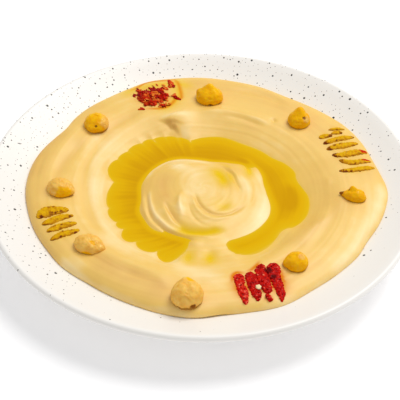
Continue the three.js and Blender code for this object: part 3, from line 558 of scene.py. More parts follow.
def higher(a, b, fillet):
    """The higher of two surfaces, with a hollow fillet where they meet."""
    share = np.clip(0.5 + (a - b) / (2 * fillet), 0, 1)
    return b + (a - b) * share + fillet * share * (1 - share)


def smooth_path(points, steps=6):
    """Points along a smooth curve through a few given ones."""
    p = np.array(points, float)
    p = np.vstack([2 * p[0] - p[1], p, 2 * p[-1] - p[-2]])
    spans = []
    for i in range(1, len(p) - 2):
        t = np.linspace(0, 1, steps, endpoint=False)[:, None]
        slope1, slope2 = (p[i + 1] - p[i - 1]) / 2, (p[i + 2] - p[i]) / 2
        spans.append(hermite(t, p[i], slope1, p[i + 1], slope2))
    return np.vstack([*spans, p[-2:-1]])


def follow(path, x, y):
    """Signed distance from a path, above 0 on its left, and the way along it, in mm."""
    best = np.full(x.shape, np.inf)
    offset, way = np.zeros(x.shape), np.zeros(x.shape)
    before = 0
    for a, b in zip(path, path[1:]):
        along = b - a
        length = np.hypot(*along)
        t = np.clip(((x - a[0]) * along[0] + (y - a[1]) * along[1]) / length ** 2, 0, 1)
        dx, dy = x - a[0] - t * along[0], y - a[1] - t * along[1]
        distance = np.hypot(dx, dy)
        nearer = distance < best
        best = np.where(nearer, distance, best)
        offset = np.where(nearer, np.sign(along[0] * dy - along[1] * dx) * distance, offset)
        way = np.where(nearer, before + t * length, way)
        before += length
    return offset, way, before


def stroke_height(x, y, kind, height, left, right, soft, points):
    """What one spoon stroke adds to the surface's height at x and y."""
    path = smooth_path(points)
    reach = 2.6 * max(left, right) + soft + 2
    near = ((x > path[:, 0].min() - reach) & (x < path[:, 0].max() + reach)
            & (y > path[:, 1].min() - reach) & (y < path[:, 1].max() + reach))
    result = np.zeros_like(x)
    offset, way, length = follow(path, x[near], y[near])
    width = np.where(offset > 0, left, right)
    taper = min(STROKE_TAPER, length / 2)
    ends = ease(way / taper) * ease((length - way) / taper)
    if kind == "fold":
        step = 0.5 * np.tanh(offset / soft)
        result[near] = height * ends * step * np.exp(-(np.abs(offset) / width) ** STROKE_FALL)
    else:
        distance = np.hypot(offset, soft) - soft
        result[near] = height * ends * np.exp(-(distance / width) ** STROKE_FALL)
    return result


def lobe_angle(radius, angle):
    """The angle by which lobes are told apart: those in front lean, so it turns inward there."""
    inward = np.maximum(around(HOLLOW_RADIUS, angle) - radius, 0)
    turned = np.mod(angle, 360)
    return turned - LOBE_TURN * inward * ease((turned - LEAN_FROM) / LEAN_SPAN)


def lobe_reach(turned):
    """How far the oil's lobes reach beyond the hollow's plain edge."""
    notches, reaches = np.array(LOBES, float).T
    at = np.clip(np.searchsorted(notches, turned, side="right") - 1, 0, len(LOBES) - 2)
    t = np.clip((turned - notches[at]) / (notches[at + 1] - notches[at]), 0, 1)
    inside = (turned > notches[0]) & (turned < notches[-1])
    return np.where(inside, reaches[at] * np.sin(np.pi * t) ** LOBE_ROUNDNESS, 0)


def notch_ridge(radius, beyond, turned):
    """The low ridge that runs into the hollow from each notch between two lobes."""
    notches = np.array([notch for notch, _ in LOBES])
    aside = radius * np.radians(np.abs(turned[..., None] - notches).min(-1))
    ridge = NOTCH_RIDGE * np.exp(-(aside / NOTCH_WIDTH) ** 2)
    return ridge * ease(1 + beyond / NOTCH_LENGTH) * ease(-beyond / NOTCH_RISE)


def fine_ridges(radius, angle, turned):
    """Fine ridges on the hollow's floor: a fan of them at the left, rings at the right."""
    fan = FAN_HEIGHT * sum(np.sin(np.radians(turned) * turns + turns) for turns in FAN_TURNS)
    rings = RING_HEIGHT * sum(np.sin(radius * wave + 2 * np.radians(angle)) for wave in RING_WAVES)
    fanned = ease((turned - FAN_FROM) / FAN_BLEND) * ease((FAN_TO - turned) / FAN_BLEND)
    return fanned * fan + (1 - fanned) * rings


def ring_height(radius, angle):
    """Hollow floor, flank up to the ring's crest, and the rounded outside of the ring."""
    hollow, crest = around(HOLLOW_RADIUS, angle), around(CREST_RADIUS, angle)
    top, outline = around(CREST_HEIGHT, angle), around(OUTLINE_RADIUS, angle)
    turned = lobe_angle(radius, angle)
    lobe = lobe_reach(turned)
    beyond = radius - hollow - lobe
    reach = np.where(beyond > 0, LOBE_OUTWARD, LOBE_INWARD)
    inward = radius - lobe * np.exp(-(beyond / reach) ** 2)
    depth = OIL_LEVEL - HOLLOW_FLOOR
    share = np.clip(inward / hollow, 0, 1)
    floor = HOLLOW_FLOOR + depth * share ** FLOOR_POWER + notch_ridge(radius, beyond, turned)
    floor = floor + fine_ridges(radius, angle, turned) * ease(-beyond / 4) * share ** 2
    run = crest - hollow
    t = np.clip((inward - hollow) / run, 0, 1)
    flank = hermite(t, OIL_LEVEL, FLOOR_POWER * depth * run / hollow, top, 0)
    foot = plate_top(outline) + HUMMUS_LIFT
    out = np.clip((radius - crest) / (outline - crest), 0, 1)
    outside = foot + (top - foot) * np.sqrt(1 - out ** OUTSIDE_POWER)
    return np.where(inward < hollow, floor, np.where(radius < crest, flank, outside))


def mound_height(radius, angle):
    """The mound in the middle, without its swirl."""
    fullness = around(MOUND_FULLNESS, angle)
    rise = MOUND_TOP - MOUND_ROOT
    waterline = 1 - ((OIL_LEVEL - MOUND_ROOT) / rise) ** (1 / FOOT_POWER)
    out = np.clip(radius / around(MOUND_RADIUS, angle) * waterline ** (1 / fullness), 0, 1)
    return MOUND_ROOT + rise * (1 - out ** fullness) ** FOOT_POWER


def bridge_height(x, y):
    """The bridge in front of the mound, which fades out under it."""
    forward = np.clip(BRIDGE_BACK - y, -BRIDGE_OVERLAP, BRIDGE_LENGTH)
    aside = (x - BRIDGE_MIDDLE + BRIDGE_LEAN * forward) / (BRIDGE_HALF + BRIDGE_WIDENING * forward)
    bridge = BRIDGE_HEIGHT - (BRIDGE_HEIGHT - OIL_LEVEL) * np.abs(aside) ** BRIDGE_POWER
    return bridge - np.maximum(y - BRIDGE_START, 0)


def surface(x, y):
    """Height of the spread in mm at x and y in mm, before the toppings."""
    radius, angle = np.hypot(x, y), np.degrees(np.arctan2(y, x))
    height = higher(ring_height(radius, angle), mound_height(radius, angle), FILLET)
    height = higher(height, bridge_height(x, y), FILLET)
    for stroke in STROKES:
        height = height + stroke_height(x, y, *stroke)
    return height


def on_surface(place, lift):
    """The point that stands by its lift above the spread at one place."""
    return Vector((*place, surface(*np.array(place, float)[:, None])[0] + lift))


def brushed(x, y, marks):
    """What each of some marks of (amount, half width, path) gives at x and y, one row a mark."""
    return np.array([stroke_height(x, y, "lip", amount, width, width, MARK_SOFTNESS, path)
                     for amount, width, path in marks])


def points_of(verts):
    """The x, y and z of some points, as three arrays."""
    return np.array([vert.co for vert in verts]).T


def extrude(bm, faces):
    """Extrudes some faces of a bmesh and gives the new points."""
    new = bmesh.ops.extrude_face_region(bm, geom=faces)["geom"]
    return [item for item in new if isinstance(item, bmesh.types.BMVert)]


def mark_points(verts, layer, values):
    """Writes a value on each of some points, for the material to read."""
    for vert, value in zip(verts, values):
        vert[layer] = value


def hummus_paste():
    """Beaten paste with tahini oil in it: pale, opaque but soft at its edges, and moist."""
    material, shader = new_material("hummus_paste")
    oiled, stained, painted_light_and_tone = (point_value(material, name) for name in ("oiled", "stained", "painted_light_and_tone"))
    # The painted light and shade move the paste from its darker colour to its paler one
    shade = reckon(material, "MULTIPLY_ADD", mottle(material, 9, 4.0), 0.3, painted_light_and_tone)
    paste = colour_along(material, shade, [(0.1, "#DCA846"), (0.65, "#EFC45C"), (1, "#FCE2A6")])
    with_oil = blend(material, oiled, paste, colour("#E9C018"))
    with_spice = blend(material, stained, with_oil, colour("#DE8208"))
    wet = reckon(material, "ADD", oiled, stained)
    set_inputs(material, shader, {
        "Base Color": with_spice, "Roughness": rescale(material, oiled, 0.52, 0.2), "IOR": 1.5,
        "Specular IOR Level": rescale(material, wet, 1.0, 0.06),
        "Normal": roughen(material, mottle(material, 0.9, 3.0), 0.12, 0.1),
        "Subsurface Weight": 0.1, "Subsurface Radius": (1.0, 0.55, 0.25),
        "Subsurface Scale": 0.6 * MM})
    return material


def spread_profile():
    """Unit profile of the spread: rings over its upper side at height 1, closer together at
    its edge, then under it at 0."""
    even = np.linspace(0, LAST_EVEN_SHARE, HUMMUS_RINGS)
    edge = 1 - (1 - LAST_EVEN_SHARE) * (1 - np.linspace(0, 1, EDGE_RINGS + 1)[1:]) ** 1.5
    upper = [(share, 1) for share in np.concatenate([even, edge])]
    return upper + [(share, 0) for share in (0.985, 0.93, 0.8, 0.6, 0.4, 0.2, 0)]


hummus_bm = spin_profile(spread_profile(), HUMMUS_STEPS)
unit_x, unit_y, upper_side = points_of(hummus_bm.verts)
unit_angle = np.arctan2(unit_y, unit_x)
unit_radius = np.hypot(unit_x, unit_y) * around(OUTLINE_RADIUS, np.degrees(unit_angle))
hummus_x, hummus_y = unit_radius * np.cos(unit_angle), unit_radius * np.sin(unit_angle)
hummus_z = np.where(upper_side > 0.5, surface(hummus_x, hummus_y),
                    plate_top(unit_radius) + HUMMUS_LIFT)

# The spoon's streaks, the colour that oil and spices give the paste, and painted light on it
streak_draw = random.Random(3)
streaks = np.zeros_like(hummus_z)
for wave in range(STREAK_WAVES):
    per_mm = 2 * math.pi / streak_draw.uniform(*STREAK_LENGTHS)
    turns = streak_draw.randint(1, 5)
    phase = streak_draw.uniform(0, 2 * math.pi)
    streaks += np.sin(per_mm * unit_radius + turns * unit_angle + phase) / per_mm
inner = ease(unit_radius / 8) * ease((OUTLINE_RADIUS[0][1] * 0.93 - unit_radius) / 6)
hummus_z = hummus_z + np.where(upper_side > 0.5, STREAK_HEIGHT * streaks * inner, 0)

above_oil = hummus_z - OIL_LEVEL
seep = SEEP * np.exp(-np.maximum(above_oil, 0) / SEEP_HEIGHT)
beside_oil = np.where(unit_radius < SEEP_REACH, seep, 0)
hummus_layers = {
    "oiled": np.maximum(beside_oil, brushed(hummus_x, hummus_y, OIL_FILMS).max(0)),
    "stained": np.minimum(brushed(hummus_x, hummus_y, SPICE_STAINS).max(0), 1),
    # Painted light and shade, with a little tone along the streaks
    "painted_light_and_tone": 0.5 + 0.5 * brushed(hummus_x, hummus_y, PAINTED_LIGHT_ON_PASTE).sum(0) + STREAK_TONE * streaks,
}
for layer, values in hummus_layers.items():
    mark_points(hummus_bm.verts, hummus_bm.verts.layers.float.new(layer), values)
for vert, *place in zip(hummus_bm.verts, hummus_x, hummus_y, hummus_z):
    vert.co = place
hummus = finish_piece(hummus_bm, "hummus_spread", hummus_paste(), "hummus", "hummus")

# Olive oil: golden-green oil poured into the hollow, up to its level. It is palest where it is
# thinnest, over the ridges between the petals and along its edge.
OIL_STEPS = 400
OIL_RINGS = 125
OIL_REACH = 53
OIL_EDGE = 0.3  # how far the oil runs on into the hummus at its edge
OIL_UNDER = 0.15  # and under its floor


def olive_oil():
    """Clear yellow oil over pale paste: its yellow deepens with the depth under its surface."""
    material, shader = new_material("olive_oil")
    shade = colour_along(material, point_value(material, "depth"), [
        (0, "#E8C250"), (0.04, "#E0B72C"), (0.14, "#DFB40C"), (0.6, "#DDAC02"), (1, "#CE9800")])
    set_inputs(material, shader, {"Base Color": shade, "Roughness": 0.12, "IOR": 1.47,
                                  "Specular IOR Level": 0.06})
    return material


oil_rings = np.linspace(0, OIL_REACH, OIL_RINGS)
oil_bm = spin_profile([(radius, OIL_LEVEL) for radius in oil_rings], OIL_STEPS)
oil_x, oil_y, oil_top = points_of(oil_bm.verts)
depth_layer = oil_bm.verts.layers.float.new("depth")
mark_points(oil_bm.verts, depth_layer, oil_top - surface(oil_x, oil_y))
dry = [f for f in oil_bm.faces if all(v[depth_layer] < -OIL_EDGE for v in f.verts)]
bmesh.ops.delete(oil_bm, geom=dry, context="FACES")
for vert in extrude(oil_bm, oil_bm.faces[:]):
    vert.co.z -= max(vert[depth_layer], 0) + OIL_UNDER
for vert in oil_bm.verts:
    vert[depth_layer] = min(max(vert[depth_layer] / (OIL_LEVEL - HOLLOW_FLOOR), 0), 1)
finish_piece(oil_bm, "olive_oil_pool", olive_oil(), "olive_oil", "oil_pool")

# Chickpeas: boiled whole until soft, golden under a thin pale skin that slips off in places.
# They are pressed a little way into the hummus.
CHICKPEA_DETAIL = 5
# Each lies at a place, has a length, width and height, and stands above the hummus by its lift.
# Its beak points along its turn and tilt. Patches of skin, bare patches within them, brown marks
# and lobes are spots on it, as (direction, spread), with a lobe's height between the two. On the
# third and the fifth, the patch of skin at the upper right is a painted highlight.
CHICKPEAS = [
    {"at": (-51.7, 43.4), "size": (11.8, 11.9, 10.2), "lift": 1, "turn": 250, "tilt": 5,
     "bare": [], "skin_and_highlight": [((0.8, -0.25, 0.45), 0.62)],
     "marks": [((0.02, -0.8, 0.42), 0.1)], "lobes": []},
    {"at": (2.8, 64.8), "size": (11.2, 13, 12), "lift": 1.2, "turn": 95, "tilt": 70,
     "bare": [], "skin_and_highlight": [], "marks": [((0.1, -1, -0.2), 0.18)],
     "lobes": [((0, 0.15, 1), 0.14, 0.32), ((-0.85, 0.35, 0.45), 0.13, 0.3),
               ((0.85, -0.4, 0.1), 0.1, 0.4)]},
    # Its patch of skin at the upper right is a painted highlight
    {"at": (46.5, 47.6), "size": (10.4, 10.9, 10.8), "lift": 1.2, "turn": 80, "tilt": 70,
     "bare": [], "skin_and_highlight": [((0.66, -0.45, 0.6), 0.34)],
     "marks": [((0.42, -0.52, 0.74), 0.15)], "lobes": [((0.05, 0.15, 1), 0.3, 0.36)]},
    {"at": (70.2, -6.6), "size": (10.6, 7, 7.2), "lift": 0.6, "turn": 160, "tilt": 0,
     "bare": [], "skin_and_highlight": [((0.1, -0.2, 1), 0.16)],
     "marks": [((-1, 0.35, 0.1), 0.26), ((-0.5, 0.3, 0.8), 0.12)],
     "lobes": [((-1, 0.35, 0.05), 0.3, 0.24), ((-0.15, 0.35, 1), 0.5, 0.3),
               ((0.6, 0.3, 0.75), 0.14, 0.35)]},
    # Its patch of skin at the upper right is a painted highlight
    {"at": (41.8, -50.4), "size": (10.5, 10.4, 9.4), "lift": 1, "turn": 185, "tilt": 0,
     "bare": [], "skin_and_highlight": [((0.5, -0.1, 0.85), 0.3)], "marks": [], "lobes": []},
    {"at": (-5.7, -72.6), "size": (13.2, 13.8, 13.2), "lift": 1.8, "turn": 95, "tilt": 45,
     "bare": [((0.02, 0.72, 0.68), 0.34)], "skin_and_highlight": [((0, 0, 1), 3)],
     "marks": [((0.4, -0.95, -0.12), 0.2)], "lobes": [((-0.8, -0.5, 0.3), 0.05, 0.4)]},
    {"at": (-49.8, -41.7), "size": (13.1, 10.6, 8.6), "lift": 0.9, "turn": 340, "tilt": 0,
     "bare": [((0.3, -0.35, 0.85), 0.2), ((-0.2, -1, 0), 0.3)], "skin_and_highlight": [((0, 0, 1), 3)],
     "marks": [], "lobes": [((0.1, -0.75, 0.65), 0.09, 0.25), ((0.9, -0.3, 0.4), 0.08, 0.3)]},
    {"at": (-65.4, -4.2), "size": (12.2, 10.8, 9.6), "lift": 1, "turn": 340, "tilt": 0,
     "bare": [((0.35, -0.95, 0.25), 0.75)], "skin_and_highlight": [((0, 0, 1), 3)], "marks": [], "lobes": []},
]
BEAK_LENGTH = 0.16
BEAK_SPREAD = 0.4
FURROW_DEPTH = 0.09
FURROW_SPREAD = 0.28
LUMPINESS = 0.045  # this and the next four are shares of the chickpea's half size
SKIN_THICKNESS = 0.02
SKIN_WRINKLES = 0.018
SKIN_GRAIN = 0.014
MARK_DEPTH = 0.05
SKIN_RAGGEDNESS = 0.25
SPOT_EDGE = 0.35  # the share of a spot's spread over which it fades
# Painted contact shade: each chickpea's foot is darkened where it sits in the hummus
CONTACT_SHADE_HEIGHT = 0.9  # how far up its side the painted shade reaches
CONTACT_SHADE_STRENGTH = 0.75


def boiled_chickpea():
    """Boiled chickpea: waxy gold seed, pale half-clear skin over it, both wet."""
    material, shader = new_material("boiled_chickpea")
    cloud = mottle(material, 2.5, 4.0)
    gold = blend(material, cloud, colour("#E69200"), colour("#FFCE0A"))
    pale = blend(material, cloud, colour("#E09410"), colour("#FFDA78"))
    # Pale where it has skin, and on the patches of skin that are painted highlights
    seed = blend(material, point_value(material, "skin_and_highlight"), gold, pale)
    set_inputs(material, shader, {
        # Brown marks and the painted contact shade at each chickpea's foot take the dark brown
        "Base Color": blend(material, point_value(material, "mark_and_shade"), seed, colour("#8E5206")),
        "Roughness": 0.35, "Specular IOR Level": 0.05, "Coat Weight": 0.12,
        "Coat Roughness": 0.1, "Normal": roughen(material, mottle(material, 0.7, 3.0), 0.6, 0.2),
        "Subsurface Weight": 0.25, "Subsurface Radius": (1.0, 0.6, 0.2),
        "Subsurface Scale": 1.2 * MM})
    return material


def spot(direction, place, spread):
    """1 in the middle of a round spot on a chickpea, easing to 0 at its edge."""
    return float(ease((spread - direction.angle(Vector(place))) / (SPOT_EDGE * spread) + 0.5))


def skin_and_highlight_left(pea, number, facing):
    """How much pale skin, painted highlights included, a chickpea has where it faces a way: 1 under
    it, 0 where it is bare.
    """
    ragged = SKIN_RAGGEDNESS * noise.noise(facing * 2.2 + Vector((number, 0, 0)))
    skin_and_highlight_share = max((spot(facing, place, spread + ragged) for place, spread in pea["skin_and_highlight"]),
                  default=0)
    bared = max((spot(facing, place, spread + ragged) for place, spread in pea["bare"]),
                default=0)
    return skin_and_highlight_share * (1 - bared)


def chickpea_girth(pea, number, point, facing, skin_and_highlight_share, sunk):
    """Size of a chickpea at a point, as a share of a plain ball's: beak and furrow, then lobes,
    lumps, wrinkled skin and sunk marks."""
    rise = BEAK_LENGTH * math.exp(-(point.angle(Vector((1, 0, 0))) / BEAK_SPREAD) ** 2)
    furrow = FURROW_DEPTH * math.exp(-(point.y / FURROW_SPREAD) ** 2) if point.x > 0 else 0
    size = 1 + rise - furrow * (1 - rise / BEAK_LENGTH)
    for direction, height, spread in pea["lobes"]:
        size += height * math.exp(-(facing.angle(Vector(direction)) / spread) ** 2)
    lumps = noise.fractal(facing * 3 + Vector((0, number * 5, 0)), 1.0, 2.0, 3)
    wrinkles = math.sin(14 * noise.noise(facing * 1.5 + Vector((0, 0, number))))
    grain = noise.noise(facing * 9 + Vector((number, 0, 0)))
    size += LUMPINESS * lumps + SKIN_THICKNESS * skin_and_highlight_share + SKIN_WRINKLES * skin_and_highlight_share * wrinkles
    return size + SKIN_GRAIN * grain - MARK_DEPTH * sunk


chickpea_finish = boiled_chickpea()
for number, pea in enumerate(CHICKPEAS, start=1):
    pea_bm = bmesh.new()
    bmesh.ops.create_icosphere(pea_bm, subdivisions=CHICKPEA_DETAIL, radius=1)
    skin_and_highlight_layer = pea_bm.verts.layers.float.new("skin_and_highlight")
    mark_and_shade_layer = pea_bm.verts.layers.float.new("mark_and_shade")
    turn = (Matrix.Rotation(math.radians(pea["turn"]), 3, "Z")
            @ Matrix.Rotation(math.radians(-pea["tilt"]), 3, "Y"))
    half_size = Vector(pea["size"]) / 2
    for vert in pea_bm.verts:
        point = vert.co.normalized()
        facing = (turn @ point).normalized()
        skin_and_highlight_share = skin_and_highlight_left(pea, number, facing)
        sunk = max((spot(facing, place, spread) for place, spread in pea["marks"]), default=0)
        size = chickpea_girth(pea, number, point, facing, skin_and_highlight_share, sunk)
        vert.co = turn @ Vector(half_size[i] * point[i] * size for i in range(3))
        # Painted shade near the foot, where the chickpea meets the hummus
        painted_contact_shade = CONTACT_SHADE_STRENGTH * float(ease((CONTACT_SHADE_HEIGHT - pea["lift"] - vert.co.z) / CONTACT_SHADE_HEIGHT))
        vert[skin_and_highlight_layer] = skin_and_highlight_share
        vert[mark_and_shade_layer] = max(sunk, painted_contact_shade)
    bmesh.ops.translate(pea_bm, vec=on_surface(pea["at"], pea["lift"]), verts=pea_bm.verts)
    finish_piece(pea_bm, f"boiled_chickpea_{number}", chickpea_finish, "chickpea",
                 f"chickpea_{number}")

# Ground spice: a coarse ochre powder with toasted dark bits, pressed into short rows on the right
# and the left of the hummus, where it soaks up oil. Two of the rows have red tips.
OCHRE_HEIGHT = 0.7
OCHRE_GRAIN = 0.75
OCHRE_BLUNTNESS = 6
OCHRE_SHADES = ["#C41000", "#E2B208", "#CE9006", "#A46604", "#6E2C04"]
# Where on its shades the powder is, and how much darker it is in clumps, between grains as painted
# shade, on its two long sides, at its inner end and in its toasted spots.
OCHRE_MIDDLE = 0.32
OCHRE_CLUMPS = 0.34
OCHRE_GAP_SHADE = 0.06
OCHRE_SIDES = (0.32, 0.12)
OCHRE_INNER_END = 0.18
OCHRE_SPOTS = 0.45
ROW_STEPS = 90
ROW_STRIPS = 22
ROW_SUNK = 0.06  # how far a row's edge lies in the hummus, and how far its underside does
ROW_UNDER = 0.5
# Rows as paths and widths, with toasted spots as (x, y, size), and with red tips that start at a
# share of the length and of the half width.
OCHRE_ROWS = [
    # At the right, from the back to the front
    {"path": [(60.6, 42.2), (64.5, 43.4), (68.7, 43.8)], "width": 1.7, "spots": []},
    {"path": [(61.8, 39.3), (64.7, 40.5), (67.4, 40.6)], "width": 2.1,
     "spots": [(66.6, 40.4, 0.9)]},
    {"path": [(55.8, 36.1), (58.5, 37.3), (62.4, 38.3)], "width": 2.4,
     "spots": [(61.2, 37.7, 1.3)]},
    {"path": [(57.6, 31.9), (62, 34.2), (67.8, 36.5), (73, 38.2)], "width": 2.8,
     "spots": [(58.6, 32.5, 1.2), (59.4, 31.6, 0.9), (64.3, 34.4, 0.7), (72.2, 37.9, 0.9)]},
    {"path": [(59, 27.8), (63.3, 29.6), (68.2, 30.9), (74.6, 33.4)], "width": 3.4,
     "spots": [(60.2, 28.6, 1), (63, 30.6, 0.9), (66, 32, 0.8), (61, 27.7, 0.7)]},
    {"path": [(61.4, 24), (65, 23.6), (69.9, 24.7), (74.8, 26.5), (78.6, 27.2)], "width": 3.5,
     "spots": [(62.1, 24.2, 1.3), (63.1, 22.9, 0.8), (68.4, 25.4, 0.5)], "red": (0.7, -0.7)},
    {"path": [(64.5, 20), (67.5, 18.7), (71.4, 18.2), (75.9, 19.6), (80, 20.3)], "width": 2.9,
     "spots": [(65.6, 19.8, 0.8), (72, 17.3, 0.6)], "red": (0.68, 0)},
    {"path": [(64, 12), (68.3, 12.3), (73.1, 13.4), (78, 14.8), (81.3, 15.8)], "width": 2.7,
     "spots": [(64.8, 12, 1), (67.3, 11.3, 0.9), (70, 11.9, 0.7)]},
    # At the left
    {"path": [(-74.2, -23), (-72.6, -21), (-69.6, -18.9), (-65.6, -18), (-60.4, -17.2)],
     "width": 5.4, "dark": 0.04,
     "spots": [(-69.8, -16.4, 0.9), (-67.6, -15.8, 0.6), (-68.6, -19.9, 1), (-72.4, -22.6, 0.9),
         (-64.2, -18.6, 0.8), (-62.6, -16.6, 0.5), (-66.4, -20, 0.6)]},
    {"path": [(-72, -27.2), (-68.3, -25.6), (-63.9, -22.9), (-58, -21)], "width": 3.4,
     "dark": 0.04, "spots": [(-59.6, -21.8, 0.7), (-65.2, -24.2, 0.5)]},
    {"path": [(-69.4, -31.8), (-65.8, -30), (-61.3, -27.9), (-56, -26)], "width": 3.3,
     "dark": 0.04, "spots": [(-66.6, -28.4, 0.9), (-59.4, -25.6, 1), (-63, -27.9, 0.5)]},
    {"path": [(-67.4, -36.9), (-64.4, -35.4), (-61.8, -33.7), (-58.5, -32.6), (-54.6, -30.6)],
     "width": 3.3, "dark": 0.04,
     "spots": [(-61.8, -31.8, 0.9), (-59.6, -30.7, 0.9), (-56.4, -33, 0.8), (-62.6, -35.6, 0.6)]},
]


def grains(x, y, size, seed):
    """Height of packed grains of a size in mm: 1 on a grain's top, 0 between grains."""
    def one(px, py):
        nearest, second = noise.voronoi(Vector((px / size, py / size, seed)))[0][:2]
        return min(1, 1.6 * (second - nearest))
    return np.array([one(px, py) for px, py in zip(x, y)])


def clumps(x, y, size, seed):
    """Smooth noise between -1 and 1 over the spread, for clumps of a size in mm."""
    return np.array([noise.noise(Vector((px / size, py / size, seed))) for px, py in zip(x, y)])


def lay_row(bm, path, widths, height, grain, blunt, seed):
    """Lays a row of packed grains along a path on the spread, its width read along the path.
    Returns its top: vertices, share along, share across and grain height."""
    curve = smooth_path(path, 12)
    grid = bmesh.ops.create_grid(bm, x_segments=ROW_STEPS, y_segments=ROW_STRIPS, size=1)["verts"]
    lengthwise, across, _ = points_of(grid)
    along = lengthwise * 0.5 + 0.5
    at = along * (len(curve) - 1)
    steps = np.arange(len(curve))
    x, y = np.interp(at, steps, curve[:, 0]), np.interp(at, steps, curve[:, 1])
    direction = np.gradient(curve, axis=0)
    dx, dy = np.interp(at, steps, direction[:, 0]), np.interp(at, steps, direction[:, 1])
    length = np.hypot(dx, dy)
    taper = np.sqrt(np.clip(1 - np.abs(2 * along - 1) ** blunt, 0, 1))
    width = np.interp(along, np.linspace(0, 1, len(widths)), widths)
    ragged = 1 + 0.18 * clumps(x, y, 1.4, seed + 7) + 0.22 * clumps(x, y, 0.6, seed + 3)
    reach = across * taper * np.where(np.abs(across) > 0.5, ragged, 1) * width / 2
    x, y = x - dy / length * reach, y + dx / length * reach
    top = grains(x, y, grain, seed)
    domed = np.sqrt(np.clip(1 - across ** 4, 0, 1)) * taper ** 0.5
    rise = height * domed * (0.62 + 0.38 * top + 0.3 * clumps(x, y, 2.2, seed))
    ground = surface(x, y)
    for vert, *place in zip(grid, x, y, ground - ROW_SUNK + np.maximum(rise, 0)):
        vert.co = place
    for vert in extrude(bm, list({face for vert in grid for face in vert.link_faces})):
        vert.co.z -= ROW_UNDER
    return grid, along, across, top


def spice_material(name, shades, roughness, coat, grain_size):
    """Material of a spice, its colour read along the shades from a point attribute."""
    material, shader = new_material(name)
    grain = mottle(material, grain_size, 4.0)
    varied = reckon(material, "MULTIPLY_ADD", grain, 0.3, point_value(material, "shade"))
    centred = reckon(material, "SUBTRACT", varied, 0.15, use_clamp=True)
    stops = [(number / (len(shades) - 1), shade) for number, shade in enumerate(shades)]
    set_inputs(material, shader, {
        "Base Color": colour_along(material, centred, stops), "Roughness": roughness,
        "Specular IOR Level": 0.04, "Coat Weight": coat, "Coat Roughness": 0.12,
        "Normal": roughen(material, grain, 0.4, 0.12)})
    return material


def wet_rim(spread, layer, marks):
    """Soaks the spread round some marks with the oil that the spice on it gives off."""
    values = spread.data.attributes[layer].data
    kept = np.empty(len(values))
    values.foreach_get("value", kept)
    soaked = np.minimum(brushed(hummus_x, hummus_y, marks).max(0), 1)
    values.foreach_set("value", np.maximum(kept, soaked))


ochre_bm = bmesh.new()
shade_layer = ochre_bm.verts.layers.float.new("shade")
for number, row in enumerate(OCHRE_ROWS):
    widths = [share * row["width"] for share in (0.7, 1.25, 1.25, 0.8)]
    verts, along, across, top = lay_row(ochre_bm, row["path"], widths, OCHRE_HEIGHT, OCHRE_GRAIN,
                                        OCHRE_BLUNTNESS, number * 3.1)
    x, y, _ = points_of(verts)
    shade = OCHRE_MIDDLE + OCHRE_CLUMPS * clumps(x, y, 1.6, number + 20) - OCHRE_GAP_SHADE * top
    shade += OCHRE_SIDES[0] * ease((-across - 0.1) / 0.8) + row.get("dark", 0)
    shade += OCHRE_SIDES[1] * ease((across - 0.7) / 0.3)
    shade += OCHRE_INNER_END * ease(1 - along / 0.35)
    uneven = 1 + 0.9 * clumps(x, y, 0.7, number + 50)
    for spot_x, spot_y, reach in row["spots"]:
        away = np.hypot(x - spot_x, y - spot_y) * uneven / (0.9 * reach)
        shade += OCHRE_SPOTS * ease(1.5 - away)
    start, side = row.get("red", (2, 0))
    tip = ease((along - start) / 0.12) * ease((across - side) / 0.4 + 0.5)
    mark_points(verts, shade_layer, np.clip(shade, 0.16, 1) * (1 - tip))
wet_rim(hummus, "oiled", [(0.9, 0.5 * row["width"] + 0.4, row["path"]) for row in OCHRE_ROWS])
ochre_finish = spice_material("ochre_ground_spice", OCHRE_SHADES, 0.6, 0.03, 0.6)
finish_piece(ochre_bm, "ochre_spice_rows", ochre_finish, "ground_spice")

# Chilli: crushed red chilli soaked in oil. At the front it is packed into four thick glossy rows,
# and at the back left its flakes lie in a loose heap on the hummus.
# Rows as paths and widths, with how strongly their oil soaks out. The fourth is a loose end of
# the third.
RED_ROWS = [
    {"path": [(16.4, -57.4), (16.6, -60), (16.9, -62.1), (17.1, -64.6), (18, -67), (18.6, -69.3),
         (19.1, -71.4), (19.6, -74.2)], "widths": [4.2, 4.8, 4.6, 3.8, 4.6, 4.2, 3.4, 2.2],
     "soak": 1.6, "bright": 0.14},
    {"path": [(21.2, -56), (21.6, -58.3), (22.2, -60.8), (22.8, -63.4), (23.3, -65.8),
         (24, -68.1), (24.5, -70.2), (24.8, -72.4)],
     "widths": [4, 5.3, 5.5, 5.6, 5.6, 4.8, 3.3, 1.6], "soak": 1.6},
    {"path": [(26.4, -51.2), (26.4, -52.9), (26.1, -54.5), (26.3, -56.6), (26.9, -59.1),
         (27.6, -61.7), (28.3, -64.1), (28.7, -66.4), (28, -68.3)],
     "widths": [3, 4.4, 5.2, 5.5, 5.5, 5.4, 5.3, 4.7, 2.4], "soak": 1.6},
    {"path": [(28.3, -68.7), (29, -69.9), (29.7, -70.8), (30.4, -72)],
     "widths": [1.5, 2.2, 2.3, 1.6], "soak": 1},
    {"path": [(31.6, -50), (31.7, -52.8), (31.6, -54.9), (31.8, -56.9), (32.4, -58.9),
         (33, -61.4), (33.7, -63.8), (34.3, -66), (34.8, -68.1), (35, -70), (35, -71.6)],
     "widths": [6, 6.4, 6.4, 5.6, 5.4, 5.2, 4.8, 4.4, 3.7, 2.4, 1.3], "soak": 1.4},
]
RED_HEIGHT = 1.1
RED_GRAIN = 0.9
RED_BLUNTNESS = 14
RED_MIDDLE = 0.37  # where on its shades it is, and what its clumps and the painted light on grain tops add
RED_CLUMPS = 0.3
RED_TOP_LIGHT = 0.1
